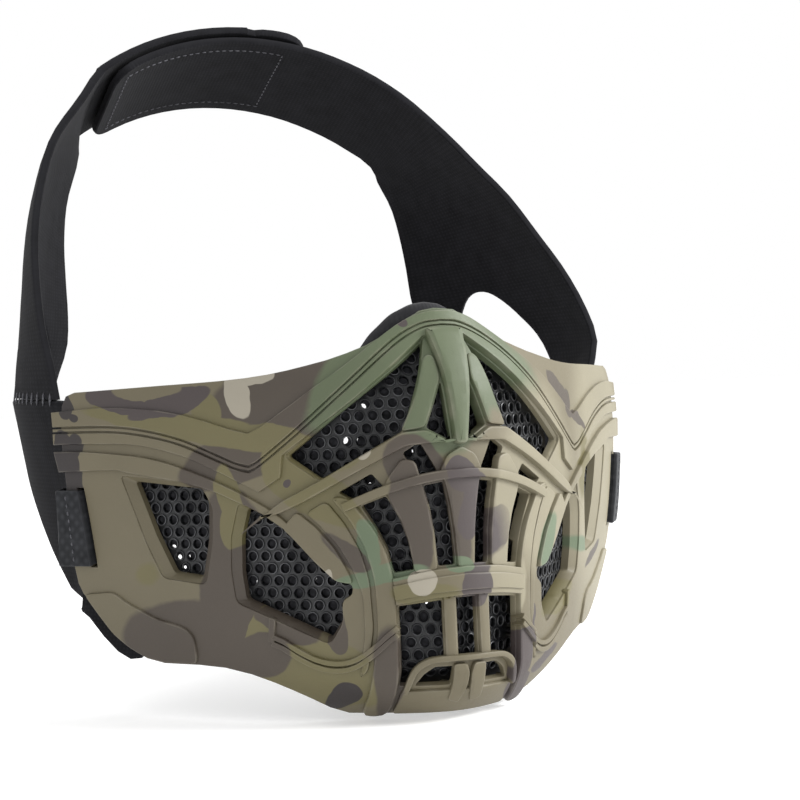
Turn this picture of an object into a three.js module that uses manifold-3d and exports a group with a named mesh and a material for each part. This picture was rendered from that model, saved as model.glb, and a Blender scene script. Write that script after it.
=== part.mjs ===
// Half face mask with a moulded grille, mesh liners and a neoprene headband.
// Millimetres. +X is the wearer's left, +Y runs back towards the ears, +Z is up.
// The origin is the middle of the shell's top edge, on the bridge of the nose.
import * as THREE from "three";
import { mergeVertices } from "three/addons/utils/BufferGeometryUtils.js";
import Module from "manifold-3d";

const wasm = await Module();
wasm.setup();

// ---- Driving dimensions -------------------------------------------------
const FACE_WIDTH = 177; // across the shell at its rear edges
const FACE_DEPTH = 82; // from the mouth grille back to the rear edges
const SHELL_HEIGHT = 110; // nose bridge down to the chin edge
const HEADBAND_RISE = 95; // nose bridge up to the front edge of the crown

const SHELL_WALL = 3.2; // moulded wall
const FIT_GAP = 0.3; // between pieces that touch
const BOSS_HEIGHT = 1.5; // stand-off that carries a mesh liner
const BOSS_RADIUS = 2.2;
const SCREW_RADIUS = 0.9;
const SCREW_HOLE_GAP = 0.35; // round a screw's shank
const SCREW_HOLE = SCREW_RADIUS + SCREW_HOLE_GAP;
const SCREW_HEAD_RADIUS = 1.9;
const SCREW_HEAD_HEIGHT = 1.1;
const SCREW_REACH = 1.4; // how far a screw goes into the shell's wall
const SCREW_HOLE_DEPTH = 1.8;
const ROOT = 1; // how far a solid runs into the one it grows from
const MESH_THICKNESS = 1; // perforated liner
const PAD_THICKNESS = 5; // foam on the bridge of the nose
const PAD_GAP = 0.8; // the foam stands off the bent liner's facets
const STRAP_THICKNESS = 2.5; // neoprene
const CROWN_WIDTH = 40; // strap width over the crown
const CROWN_RADIUS = 78; // bend of the strap over the crown
const PATCH_THICKNESS = 0.8; // hook patch under the strap's tongue
const PATCH_WIDTH = 30;
const TAB_HEIGHT = 21.8; // webbing tab, along the shell's rear edge
const TAB_THICKNESS = 1.5;
const SWIVEL_RADIUS = 36; // round end of the headband at the ears
const SWIVEL_GAP = 0.6;

// The outlines below are drawn on a flat pattern of the shell: u runs round the
// face from the nose, v runs up from the nose bridge. The pattern is drawn for
// these sizes, and it is stretched when a driving dimension changes.
const DRAWN = { width: 177, depth: 82, height: 110, rise: 95 };
const ACROSS = FACE_WIDTH / DRAWN.width;
const DEEP = FACE_DEPTH / DRAWN.depth;
const TALL = SHELL_HEIGHT / DRAWN.height;
const RISE = HEADBAND_RISE / DRAWN.rise;

// ---- Depths below the shell's outer face, along its normal ----------------
const INNER_FACE = -SHELL_WALL;
const MESH_FRONT = INNER_FACE - BOSS_HEIGHT - FIT_GAP;
const MESH_BACK = MESH_FRONT - MESH_THICKNESS;
const HEAD_FRONT = MESH_BACK - FIT_GAP;
const PAD_FRONT = MESH_BACK - PAD_GAP;
const WING_FRONT = INNER_FACE - FIT_GAP;

// ---- The shell's surface ----------------------------------------------
const NOSE_ROUNDING = 5; // softens the ridge down the middle
const BOW_POWER = 0.8;
const REFERENCE_HALF_WIDTH = 90;

function bow(x, halfWidth) {
  const soft = (t) => (t * t + NOSE_ROUNDING ** 2) ** BOW_POWER;
  return (soft(x) - soft(0)) / (soft(halfWidth) - soft(0));
}

const halfWidthAt = (v) => 93.2 - (v + 38) ** 2 / 278;

function centreLineAt(v) {
  const chin = Math.max(0, (-v - 95) / 15);
  return -9.8 * (1 - Math.exp(-((v / 13) ** 2))) + 11 * chin * chin;
}

// Distance round the face for each millimetre of x, on the reference section.
const arcTable = [0];
for (let x = 1; x <= 120; x += 1) {
  const rise = DRAWN.depth * (bow(x, REFERENCE_HALF_WIDTH) - bow(x - 1, REFERENCE_HALF_WIDTH));
  arcTable.push(arcTable[x - 1] + Math.hypot(1, rise));
}

function acrossAt(u) {
  const far = Math.abs(u);
  const i = arcTable.findIndex((arc) => arc > far);
  return Math.sign(u) * (i - 1 + (far - arcTable[i - 1]) / (arcTable[i] - arcTable[i - 1]));
}

function facePoint(u, v) {
  const x = acrossAt(u);
  const y = centreLineAt(v) + DRAWN.depth * bow(x, halfWidthAt(v));
  return new THREE.Vector3(x * ACROSS, y * DEEP, v * TALL);
}

// ---- Solids from mapped boxes, and cutting --------------------------------
function toSolid(geometry) {
  const bare = geometry.clone();
  bare.deleteAttribute("normal");
  bare.deleteAttribute("uv");
  const merged = mergeVertices(bare, 1e-4);
  const vertProperties = new Float32Array(merged.attributes.position.array);
  const triVerts = new Uint32Array(merged.index.array);
  const solid = new wasm.Manifold(new wasm.Mesh({ numProp: 3, vertProperties, triVerts }));
  if (solid.volume() > 0) return solid;
  triVerts.reverse(); // a mirrored piece has its faces turned round
  return new wasm.Manifold(new wasm.Mesh({ numProp: 3, vertProperties, triVerts }));
}

function toGeometry(solid) {
  const { vertProperties, triVerts } = solid.getMesh();
  const geometry = new THREE.BufferGeometry();
  geometry.setAttribute("position", new THREE.BufferAttribute(vertProperties, 3));
  geometry.setIndex(new THREE.BufferAttribute(triVerts, 1));
  geometry.computeVertexNormals();
  return geometry;
}

function mapVertices(geometry, place) {
  const position = geometry.attributes.position;
  const at = new THREE.Vector3();
  for (let i = 0; i < position.count; i += 1) {
    at.fromBufferAttribute(position, i);
    const moved = place(at.x, at.y, at.z);
    position.setXYZ(i, moved.x, moved.y, moved.z);
  }
  return geometry;
}

const FACE_STEP = 0.5; // between the points that give the face's direction
const STRAP_STEP = 0.004;

// A point at a depth off a surface given as a function of two parameters.
function offPoint(surface, a, b, depth, step) {
  const at = surface(a, b);
  const alongA = surface(a + step, b).sub(surface(a - step, b));
  const alongB = surface(a, b + step).sub(surface(a, b - step));
  return at.addScaledVector(alongA.cross(alongB).normalize(), depth);
}

const offFace = (u, v, depth) => offPoint(facePoint, u, v, depth, FACE_STEP);

// Faces from top to bottom of a curved sheet.
const TALL_ROWS = 10;
const SHORT_ROWS = 5;
const PAD_ROWS = 3;

// A curved sheet with its edges along columns of [u, top, bottom].
function faceSheet(columns, rows, front, back) {
  const last = columns.length - 1;
  const box = new THREE.BoxGeometry(1, 1, 1, last, rows, 1);
  mapVertices(box, (x, y, z) => {
    const [u, top, bottom] = columns[Math.round((x + 0.5) * last)];
    return offFace(u, bottom + (y + 0.5) * (top - bottom), back + (z + 0.5) * (front - back));
  });
  return toSolid(box);
}

const LONGEST_EDGE = 9; // of a window's outline, so that it follows the curve
const PLUG_FRONT = 6;
const PLUG_BACK = -12;
const ROUND_SIDES = 10;
const SMALL_SIDES = 6;

function outlinePoints(corners, longest) {
  const points = [];
  corners.forEach(([u, v], i) => {
    const [nextU, nextV] = corners[(i + 1) % corners.length];
    const pieces = Math.ceil(Math.hypot(nextU - u, nextV - v) / longest);
    for (let k = 0; k < pieces; k += 1) {
      const share = k / pieces;
      points.push(new THREE.Vector2(u + (nextU - u) * share, v + (nextV - v) * share));
    }
  });
  return points;
}

// A plug with the outline of a window, square to the face.
function facePlug(corners, side) {
  const outline = outlinePoints(corners.map(([u, v]) => [u * side, v]), LONGEST_EDGE);
  const shape = new THREE.Shape(outline);
  const plug = new THREE.ExtrudeGeometry(shape, { depth: 1, bevelEnabled: false });
  mapVertices(plug, (x, y, z) => offFace(x, y, PLUG_BACK + z * (PLUG_FRONT - PLUG_BACK)));
  return toSolid(plug);
}

// A round pin square to the face, between two depths.
function facePin(u, v, radius, front, back, sides = ROUND_SIDES) {
  const top = offFace(u, v, front);
  const foot = offFace(u, v, back);
  const pin = new THREE.CylinderGeometry(radius, radius, top.distanceTo(foot), sides);
  const turn = new THREE.Quaternion();
  turn.setFromUnitVectors(new THREE.Vector3(0, 1, 0), top.clone().sub(foot).normalize());
  pin.applyQuaternion(turn);
  pin.translate((top.x + foot.x) / 2, (top.y + foot.y) / 2, (top.z + foot.z) / 2);
  return toSolid(pin);
}

// Everything below a height, wide enough for the whole mask.
const BEYOND = 2 * FACE_WIDTH;

function slab(top) {
  const box = new THREE.BoxGeometry(BEYOND, 2 * BEYOND, BEYOND);
  box.translate(0, 0, top - BEYOND / 2);
  return toSolid(box);
}

const mirrored = (columns) => [
  ...columns.slice(1).reverse().map(([u, top, bottom]) => [-u, top, bottom]),
  ...columns,
];

// ---- Materials ----------------------------------------------------------
const finish = (color, roughness, metalness = 0) =>
  new THREE.MeshStandardMaterial({ color, roughness, metalness });
const camoPlastic = finish(0x7d7358, 0.6);
const blackMesh = finish(0x17181a, 0.35, 0.4);
const darkScrew = finish(0x2a2b2d, 0.4, 0.8);
const neoprene = finish(0x1d1e20, 0.9);
const webbing = finish(0x3a3c3e, 0.7);
const foam = finish(0x151516, 0.95);
const hookTape = finish(0x202124, 0.95);

const mask = new THREE.Group();

function addPiece(name, solid, material) {
  const mesh = new THREE.Mesh(toGeometry(solid), material);
  mesh.name = name;
  mask.add(mesh);
}

const SIDES = [
  ["left", 1],
  ["right", -1],
];

// ---- Shell --------------------------------------------------------------
// Columns of [u, top edge, bottom edge] from the nose to the rear edge.
const SHELL_EDGES = [
  [0, 0.5, -114],
  [5, 0, -114],
  [10, -2.4, -114],
  [16, -6, -114],
  [22, -8.7, -113.4],
  [28, -10.6, -111.4],
  [34, -12.2, -108.2],
  [40, -13.4, -105.5],
  [46, -14.5, -103],
  [52, -15.4, -100.7],
  [59, -16.1, -98.4],
  [67, -16.6, -96.7],
  [75, -16.9, -96.1],
  [86, -17.2, -96],
  [92, -17.4, -94.8],
  [98, -17.6, -92],
  [104, -17.8, -88],
  [110, -18, -82],
  [116, -18.2, -76],
  [119.5, -18.6, -72],
  [122, -20.5, -67],
];

const DIAMOND = [[6.5, -8], [15.5, -32.3], [39, -44.5], [48, -38]];
const NOSE_SLIT = [[4.2, -19.5], [9, -31.7], [2.5, -35.3]];
const UNDER_FORK = [[11, -36], [15.3, -38.6], [11.5, -44.4], [7, -43.2]];
const UNDER_ARM = [[25.5, -44], [33, -48.5], [29.5, -50.2], [22, -47.2]];
const MOUTH_OUTER = [
  [20.8, -49.8], [27.8, -52.4], [24, -58], [21, -64],
  [19.4, -70.3], [14.3, -69.6], [15.6, -62], [17.6, -56],
];
const MOUTH_INNER = [
  [5.3, -46.6], [10.3, -47.2], [8.8, -53], [7.8, -60],
  [7.2, -69], [2.7, -68.8], [3.4, -60], [4.2, -53],
];
const LOWER_OUTER = [
  [7.4, -78.2], [18.6, -79.4], [18.2, -101.3], [16.6, -101.3],
  [13.4, -96], [9.8, -94], [7.2, -94],
];
const LOWER_MIDDLE = [[-2.6, -77.8], [2.6, -77.8], [2.6, -93.8], [-2.6, -93.8]];
const CHIN_WINDOW = [[4.6, -96.4], [9.4, -96.4], [12.4, -98.4], [14.4, -101.4], [4.8, -101.4]];
const CHEEK_WINDOW = [
  [61.8, -51.8], [64, -60], [64, -70], [62.6, -77.6], [50, -82.8], [37.5, -88.2], [34, -82.5],
  [34.2, -77.5], [31, -76], [31, -73], [35.5, -72.5], [41, -67], [48, -59.6], [55, -55],
];
const EAR_WINDOW = [
  [99, -43.9], [76.4, -46.3], [74.2, -50], [74.4, -60],
  [76.3, -71.4], [85.8, -70.2], [92, -59.5],
];

// The webbing tab's slot leans with the rear edge, and is a little larger than the tab.
const TAB_MIDDLE = -56.8;
const SLOT_MIDDLE = 114.9;
const TAB_SLANT = 5 / 22.8;
const SLOT_END_GAP = 0.5;
const SLOT_SIDE_GAP = 0.45;

function slotCorner(end, edge) {
  const up = end * (TAB_HEIGHT / 2 + SLOT_END_GAP);
  const back = edge * (TAB_THICKNESS / 2 + SLOT_SIDE_GAP);
  return [SLOT_MIDDLE + up * TAB_SLANT + back, TAB_MIDDLE + up];
}

const TAB_SLOT = [slotCorner(1, -1), slotCorner(1, 1), slotCorner(-1, 1), slotCorner(-1, -1)];
const PAIRED_WINDOWS = [
  DIAMOND, NOSE_SLIT, UNDER_FORK, UNDER_ARM, MOUTH_OUTER, MOUTH_INNER,
  LOWER_OUTER, CHIN_WINDOW, CHEEK_WINDOW, EAR_WINDOW, TAB_SLOT,
];

// Screw places on one side of the pattern; the front liner also has one in the middle.
const FRONT_SCREWS = [[46.2, -44.6], [22.2, -90]];
const MIDDLE_SCREW = [0, -40.2];
const CHEEK_SCREWS = [[69.2, -50], [69.8, -73], [96.2, -59], [46, -89]];

function makeShell() {
  let shell = faceSheet(mirrored(SHELL_EDGES), TALL_ROWS, 0, INNER_FACE);
  const bosses = [MIDDLE_SCREW];
  for (const [, side] of SIDES) {
    for (const window of PAIRED_WINDOWS) shell = shell.subtract(facePlug(window, side));
    for (const [u, v] of [...FRONT_SCREWS, ...CHEEK_SCREWS]) bosses.push([u * side, v]);
  }
  shell = shell.subtract(facePlug(LOWER_MIDDLE, 1));
  for (const [u, v] of bosses) {
    const boss = facePin(u, v, BOSS_RADIUS, INNER_FACE + ROOT, INNER_FACE - BOSS_HEIGHT);
    const bore = facePin(u, v, SCREW_HOLE, INNER_FACE + SCREW_HOLE_DEPTH, MESH_BACK, SMALL_SIDES);
    shell = shell.add(boss).subtract(bore);
  }
  return shell.subtract(slab(-SHELL_HEIGHT)); // the flat edge under the chin
}

addPiece("outer_shell", makeShell(), camoPlastic);

// ---- Mesh liners and their screws ---------------------------------------
const FRONT_MESH = [
  [0, -3.6, -106],
  [7, -5, -106],
  [14, -9.4, -106],
  [21, -14, -106],
  [25, -17, -104],
  [26.5, -18, -74],
  [31, -21.4, -61],
  [38, -27, -51],
  [44, -31.6, -48],
  [50.5, -36.5, -47.6],
];
const CHEEK_MESH = [
  [29, -71.5, -86],
  [34, -67.5, -90],
  [40, -61.5, -92.6],
  [46, -57, -92.6],
  [52, -53, -87.5],
  [60, -48, -83],
  [67, -46.5, -79],
  [75, -43, -77],
  [86, -41, -74.2],
  [92, -40.6, -66],
  [98.6, -40.2, -63],
  [102.5, -40, -46],
];

function makeMesh(columns, rows, screws) {
  let liner = faceSheet(columns, rows, MESH_FRONT, MESH_BACK);
  for (const [u, v] of screws) {
    const hole = facePin(u, v, SCREW_HOLE, MESH_FRONT + ROOT, MESH_BACK - ROOT, SMALL_SIDES);
    liner = liner.subtract(hole);
  }
  return liner;
}

function makeScrew(u, v) {
  const head = facePin(u, v, SCREW_HEAD_RADIUS, HEAD_FRONT, HEAD_FRONT - SCREW_HEAD_HEIGHT);
  const shankFoot = HEAD_FRONT - SCREW_HEAD_HEIGHT / 2;
  const shank = facePin(u, v, SCREW_RADIUS, INNER_FACE + SCREW_REACH, shankFoot, SMALL_SIDES);
  return head.add(shank);
}

const frontScrews = [["middle", ...MIDDLE_SCREW]];
for (const [name, side] of SIDES) {
  FRONT_SCREWS.forEach(([u, v], i) => {
    frontScrews.push([`${name}_${["arm", "jaw"][i]}`, u * side, v]);
  });
}
const frontPlaces = frontScrews.map(([, u, v]) => [u, v]);
addPiece("front_mesh", makeMesh(mirrored(FRONT_MESH), TALL_ROWS, frontPlaces), blackMesh);
for (const [name, u, v] of frontScrews) {
  addPiece(`front_screw_${name}`, makeScrew(u, v), darkScrew);
}

for (const [name, side] of SIDES) {
  const columns = CHEEK_MESH.map(([u, top, bottom]) => [u * side, top, bottom]);
  const screws = CHEEK_SCREWS.map(([u, v]) => [u * side, v]);
  addPiece(`${name}_cheek_mesh`, makeMesh(columns, SHORT_ROWS, screws), blackMesh);
  screws.forEach(([u, v], i) => {
    addPiece(`${name}_cheek_screw_${i + 1}`, makeScrew(u, v), darkScrew);
  });
}

// ---- Foam pad on the bridge of the nose -----------------------------------
const NOSE_PAD = [
  [0, 1.2, -6.4],
  [7, 1, -8],
  [14, -0.2, -11.6],
  [21, -3.2, -15.4],
  [25, -6.2, -17.6],
  [26.5, -7.6, -18.2],
  [31, -13, -20],
];
const nosePad = faceSheet(mirrored(NOSE_PAD), PAD_ROWS, PAD_FRONT, PAD_FRONT - PAD_THICKNESS);
addPiece("nose_pad", nosePad, foam);

// ---- Headband -------------------------------------------------------------
// The strap over the crown bends round one axis, so its two layers can slide.
const CROWN_SLOPE = Math.atan2(17, 36.5); // the band leans back over the crown
const CROWN_ACROSS = new THREE.Vector3(0, Math.cos(CROWN_SLOPE), -Math.sin(CROWN_SLOPE));
const CROWN_OUT = new THREE.Vector3(0, Math.sin(CROWN_SLOPE), Math.cos(CROWN_SLOPE));
const CROWN_TOP = new THREE.Vector3(-8 * ACROSS, 148.2 * DEEP, 85.4 * RISE);
const CROWN_CENTRE = CROWN_TOP.clone().addScaledVector(CROWN_OUT, -CROWN_RADIUS);
const RIGHT_END_ANGLE = -34; // where the inner layer ends, past the top
const LEFT_END_ANGLE = 18; // where the outer layer ends
const LEFT_BEND_ANGLE = -36; // where the left strap leaves the crown bend
const RIGHT_BEND_ANGLE = 46;
const TONGUE_START = -35.4;
const FLAP_START = 2;
const FOLD_GAP = 0.5; // degrees of bend left open at a fold
const PATCH_START = -31;
const PATCH_END = 12;
const BEND_STEP = 5; // degrees of bend for each flat facet
const BEND_OVERLAP = 0.05; // where the band runs into the side strap

const INNER_LAYER = CROWN_RADIUS;
const PATCH_LAYER = INNER_LAYER + FIT_GAP + PATCH_THICKNESS;
const OUTER_LAYER = PATCH_LAYER + FIT_GAP + STRAP_THICKNESS;

function crownPoint(angle, across, radius) {
  const turn = THREE.MathUtils.degToRad(angle);
  return CROWN_CENTRE.clone()
    .addScaledVector(CROWN_OUT, radius * Math.cos(turn))
    .addScaledVector(new THREE.Vector3(1, 0, 0), radius * Math.sin(turn))
    .addScaledVector(CROWN_ACROSS, across);
}

function crownBand(from, to, width, outside, thickness) {
  const bends = Math.max(2, Math.ceil((to - from) / BEND_STEP));
  const box = new THREE.BoxGeometry(1, 1, 1, bends, 1, 1);
  mapVertices(box, (x, y, z) =>
    crownPoint(from + (x + 0.5) * (to - from), y * width, outside + (z - 0.5) * thickness));
  return toSolid(box);
}

// Rows of [front edge, rear edge, outward bulge], from the crown bend to the wing.
const STRAP_FOOT = -20;
const BEND_SHARES = [0.7, 0.85, 1]; // of the bend angle, where a side strap runs off it
const LENGTH_STEPS = 14;
const WIDTH_STEPS = 6;
const STRAP_ROWS = {
  left: [
    [[59, 114, 60], [53, 160, 49], 1.5],
    [[67, 109, 49.5], [57, 159, 40], 3],
    [[75, 104, 39], [59, 158, 30], 4.5],
    [[82, 98, 26], [59.5, 155, 18], 6],
    [[88, 91, 13], [59.5, 152, 6], 8],
    [[92, 85, 0], [62, 151, -4], 9.5],
    [[92.5, 80, -10], [66, 151, -12], 10.5],
    [[88.5, 76.5, STRAP_FOOT], [71.6, 152, STRAP_FOOT], 11.5],
  ],
  right: [
    [[65, 119, 73], [57, 161, 58], 1.5],
    [[76, 113, 60], [62, 159, 43], 3],
    [[83, 105, 45], [64, 157, 30], 4.5],
    [[88, 96, 28], [64.5, 155, 17], 6],
    [[90, 88, 12], [65, 152, 5], 8],
    [[90.5, 82, 0], [66, 151, -4], 9.5],
    [[89.5, 78.5, -10], [69, 151, -12], 10.5],
    [[88.5, 76.5, STRAP_FOOT], [71.6, 152, STRAP_FOOT], 11.5],
  ],
};

const placed = ([x, y, z], side) =>
  new THREE.Vector3(x * side * ACROSS, y * DEEP, z > 0 ? z * RISE : z * TALL);

// The strap's outer face as a smooth surface: share down the strap, share across it.
function strapSurface(name, side, bendAngle, layer) {
  const half = CROWN_WIDTH / 2;
  const rows = STRAP_ROWS[name];
  const bends = BEND_SHARES.map((share) => bendAngle * share);
  const front = new THREE.CatmullRomCurve3([
    ...bends.map((angle) => crownPoint(angle, -half, layer)),
    ...rows.map(([edge]) => placed(edge, side)),
  ]);
  const rear = new THREE.CatmullRomCurve3([
    ...bends.map((angle) => crownPoint(angle, half, layer)),
    ...rows.map(([, edge]) => placed(edge, side)),
  ]);
  const bulges = [0, 0, 0.5, ...rows.map(([, , bulge]) => bulge)];
  return (down, across) => {
    const t = Math.min(Math.max(down, 0), 1);
    const frontPoint = front.getPoint(t);
    const rearPoint = rear.getPoint(t);
    const along = front.getTangent(t).add(rear.getTangent(t));
    const out = along.cross(rearPoint.clone().sub(frontPoint)).normalize();
    out.multiplyScalar(side);
    const at = t * (bulges.length - 1);
    const i = Math.min(Math.floor(at), bulges.length - 2);
    const bulge = bulges[i] + (at - i) * (bulges[i + 1] - bulges[i]);
    const swell = 4 * across * (1 - across) * bulge;
    return frontPoint.lerp(rearPoint, across).addScaledVector(out, swell);
  };
}

// Thickens a strap surface inwards, towards the head.
function strapSheet(surface, side, from) {
  const box = new THREE.BoxGeometry(1, 1, 1, LENGTH_STEPS, WIDTH_STEPS, 1);
  mapVertices(box, (x, y, z) => {
    const down = from + (x + 0.5) * (1 - from);
    const across = y + 0.5;
    const below = surface(Math.min(down + STRAP_STEP, 1), across);
    const alongDown = below.sub(surface(down - STRAP_STEP, across));
    const behind = surface(down, across + STRAP_STEP);
    const alongAcross = behind.sub(surface(down, across - STRAP_STEP));
    const inward = alongDown.cross(alongAcross).normalize().multiplyScalar(-side);
    return surface(down, across).addScaledVector(inward, (0.5 - z) * STRAP_THICKNESS);
  });
  return toSolid(box);
}

// The hinge line across the ears, and the ear opening between the strap's two legs.
const SWIVEL = new THREE.Vector3(0, 121 * DEEP, 28 * RISE);
const EAR_OPENING = [
  [112, -30], [110, -16], [117, -4], [125, 5], [131, 8.5], [137, 6.5], [142, -3], [143, -30],
];
const DRUM_SIDES = 48;

function sidewaysBar(outline) {
  const corners = outline.map(([y, z]) => placed([0, y, z], 1));
  const shape = new THREE.Shape(corners.map((corner) => new THREE.Vector2(corner.y, corner.z)));
  const bar = new THREE.ExtrudeGeometry(shape, { depth: BEYOND, bevelEnabled: false });
  mapVertices(bar, (x, y, z) => new THREE.Vector3(z - BEYOND / 2, x, y));
  return toSolid(bar);
}

function swivelDrum(radius) {
  const drum = new THREE.CylinderGeometry(radius, radius, BEYOND, DRUM_SIDES);
  drum.rotateZ(Math.PI / 2);
  drum.translate(SWIVEL.x, SWIVEL.y, SWIVEL.z);
  return toSolid(drum);
}

const earGap = sidewaysBar(EAR_OPENING);
const belowSwivel = slab(SWIVEL.z).subtract(swivelDrum(SWIVEL_RADIUS));
const belowEars = slab(SWIVEL.z - SWIVEL_RADIUS / 2);
const legZone = belowEars.subtract(swivelDrum(SWIVEL_RADIUS + SWIVEL_GAP));

function addStrap(name, side, bendAngle, layer) {
  const surface = strapSurface(name, side, bendAngle, layer);
  const lastBend = BEND_SHARES.length - 1;
  const upperStart = lastBend / (STRAP_ROWS[name].length + lastBend);
  const sheet = strapSheet(surface, side, upperStart);
  const whole = sheet.subtract(earGap).subtract(slab(STRAP_FOOT * TALL));
  const legs = whole.intersect(legZone).decompose();
  legs.sort((a, b) => a.boundingBox().min[1] - b.boundingBox().min[1]);
  addPiece(`${name}_strap_front_leg`, legs[0], neoprene);
  addPiece(`${name}_strap_rear_leg`, legs[1], neoprene);
  return whole.subtract(belowSwivel);
}

const leftSide = addStrap("left", 1, RIGHT_BEND_ANGLE, INNER_LAYER);
const rightSide = addStrap("right", -1, LEFT_BEND_ANGLE, OUTER_LAYER);
const strapBand = (from, to, layer) => crownBand(from, to, CROWN_WIDTH, layer, STRAP_THICKNESS);
const overCrown = strapBand(RIGHT_END_ANGLE, RIGHT_BEND_ANGLE + BEND_OVERLAP, INNER_LAYER);
const patch = crownBand(PATCH_START, PATCH_END, PATCH_WIDTH, PATCH_LAYER, PATCH_THICKNESS);
addPiece("left_strap", leftSide.add(overCrown), neoprene);
addPiece("right_strap", rightSide, neoprene);
addPiece("hook_patch", patch, hookTape);
addPiece("strap_tongue", strapBand(TONGUE_START, FLAP_START, OUTER_LAYER), neoprene);
addPiece("strap_flap", strapBand(FLAP_START + FOLD_GAP, LEFT_END_ANGLE, OUTER_LAYER), neoprene);

// ---- Side wings: neoprene panels inside the shell's rear edges -------------
// Columns of [u, top, bottom] inside the shell, then [share of the way back, top, bottom].
const WING_INSIDE = [
  [98.5, -86, -91.5],
  [102, -78, -92],
  [106, -52, -89.4],
  [110, -20, -86],
  [116, -20, -80],
  [121, -20, -76.6],
];
const WING_OUTSIDE = [
  [0.06, -20, -74.6],
  [0.12, -20, -71],
  [0.22, -20, -62],
  [0.34, -20, -50],
  [0.48, -20, -40],
  [0.62, -20, -33],
  [0.8, -20, -27.5],
  [1, -20, -24],
];
const WING_LEAN = 0.16; // how far the wing tucks in for each millimetre down

function wingPoint(column, v, side) {
  const inside = WING_INSIDE.length;
  if (column < inside) return offFace(WING_INSIDE[column][0] * side, v, WING_FRONT);
  const [share] = WING_OUTSIDE[column - inside];
  const [frontEdge, rearEdge, bulge] = STRAP_ROWS.left.at(-1);
  const start = new THREE.Vector3(frontEdge[0], frontEdge[1], v);
  const end = new THREE.Vector3(rearEdge[0], rearEdge[1], v);
  const run = end.clone().sub(start).normalize();
  const at = start.lerp(end, share);
  const swell = 4 * share * (1 - share) * bulge;
  const tuck = (v - STRAP_FOOT) * WING_LEAN;
  at.x += swell * run.y + tuck;
  at.y -= swell * run.x;
  return placed([at.x, at.y, at.z], side);
}

function makeWing(side) {
  const columns = [...WING_INSIDE, ...WING_OUTSIDE];
  const last = columns.length - 1;
  const box = new THREE.BoxGeometry(1, 1, 1, last, SHORT_ROWS, 1);
  mapVertices(box, (x, y, z) => {
    const i = Math.round((x + 0.5) * last);
    const [, top, bottom] = columns[i];
    const v = bottom + (y + 0.5) * (top - bottom);
    const before = wingPoint(Math.max(i - 1, 0), v, side);
    const after = wingPoint(Math.min(i + 1, last), v, side);
    const upwards = wingPoint(i, v + 1, side).sub(wingPoint(i, v - 1, side));
    const inward = after.sub(before).cross(upwards).normalize().multiplyScalar(-side);
    return wingPoint(i, v, side).addScaledVector(inward, (0.5 - z) * STRAP_THICKNESS);
  });
  return toSolid(box).intersect(slab(STRAP_FOOT * TALL - FIT_GAP));
}

for (const [name, side] of SIDES) addPiece(`${name}_side_wing`, makeWing(side), neoprene);

// ---- Webbing tabs: through the slot, over the rear edge, sewn to the wing ---
const TAB_REACH = 13.5; // from the slot back past the rear edge

function tabBlock(side, from, to, front, back) {
  const box = new THREE.BoxGeometry(1, 1, 1, 3, 3, 1);
  mapVertices(box, (x, y, z) => {
    const up = y * TAB_HEIGHT;
    const u = SLOT_MIDDLE + up * TAB_SLANT + from + (x + 0.5) * (to - from);
    return offFace(u * side, TAB_MIDDLE + up, back + (z + 0.5) * (front - back));
  });
  return toSolid(box);
}

function makeTab(side) {
  const outside = FIT_GAP + TAB_THICKNESS;
  const over = tabBlock(side, -TAB_THICKNESS / 2, TAB_REACH, outside, FIT_GAP);
  const plug = tabBlock(side, -TAB_THICKNESS / 2, TAB_THICKNESS / 2, outside, INNER_FACE);
  return over.add(plug);
}

for (const [name, side] of SIDES) addPiece(`${name}_tab`, makeTab(side), webbing);

export default mask;
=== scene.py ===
# %% [markdown]
# # A camouflaged half face mask
# The mask is a moulded plastic grille with perforated mesh behind its windows, held on by a
# neoprene headband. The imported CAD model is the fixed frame: it says where each part is and
# how it moves. This lesson builds the surfaces that show, in metres, on top of that frame.

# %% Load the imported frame
import math
import bmesh
import bpy
import numpy as np
from mathutils import Matrix, Vector
from mathutils.geometry import delaunay_2d_cdt


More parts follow.
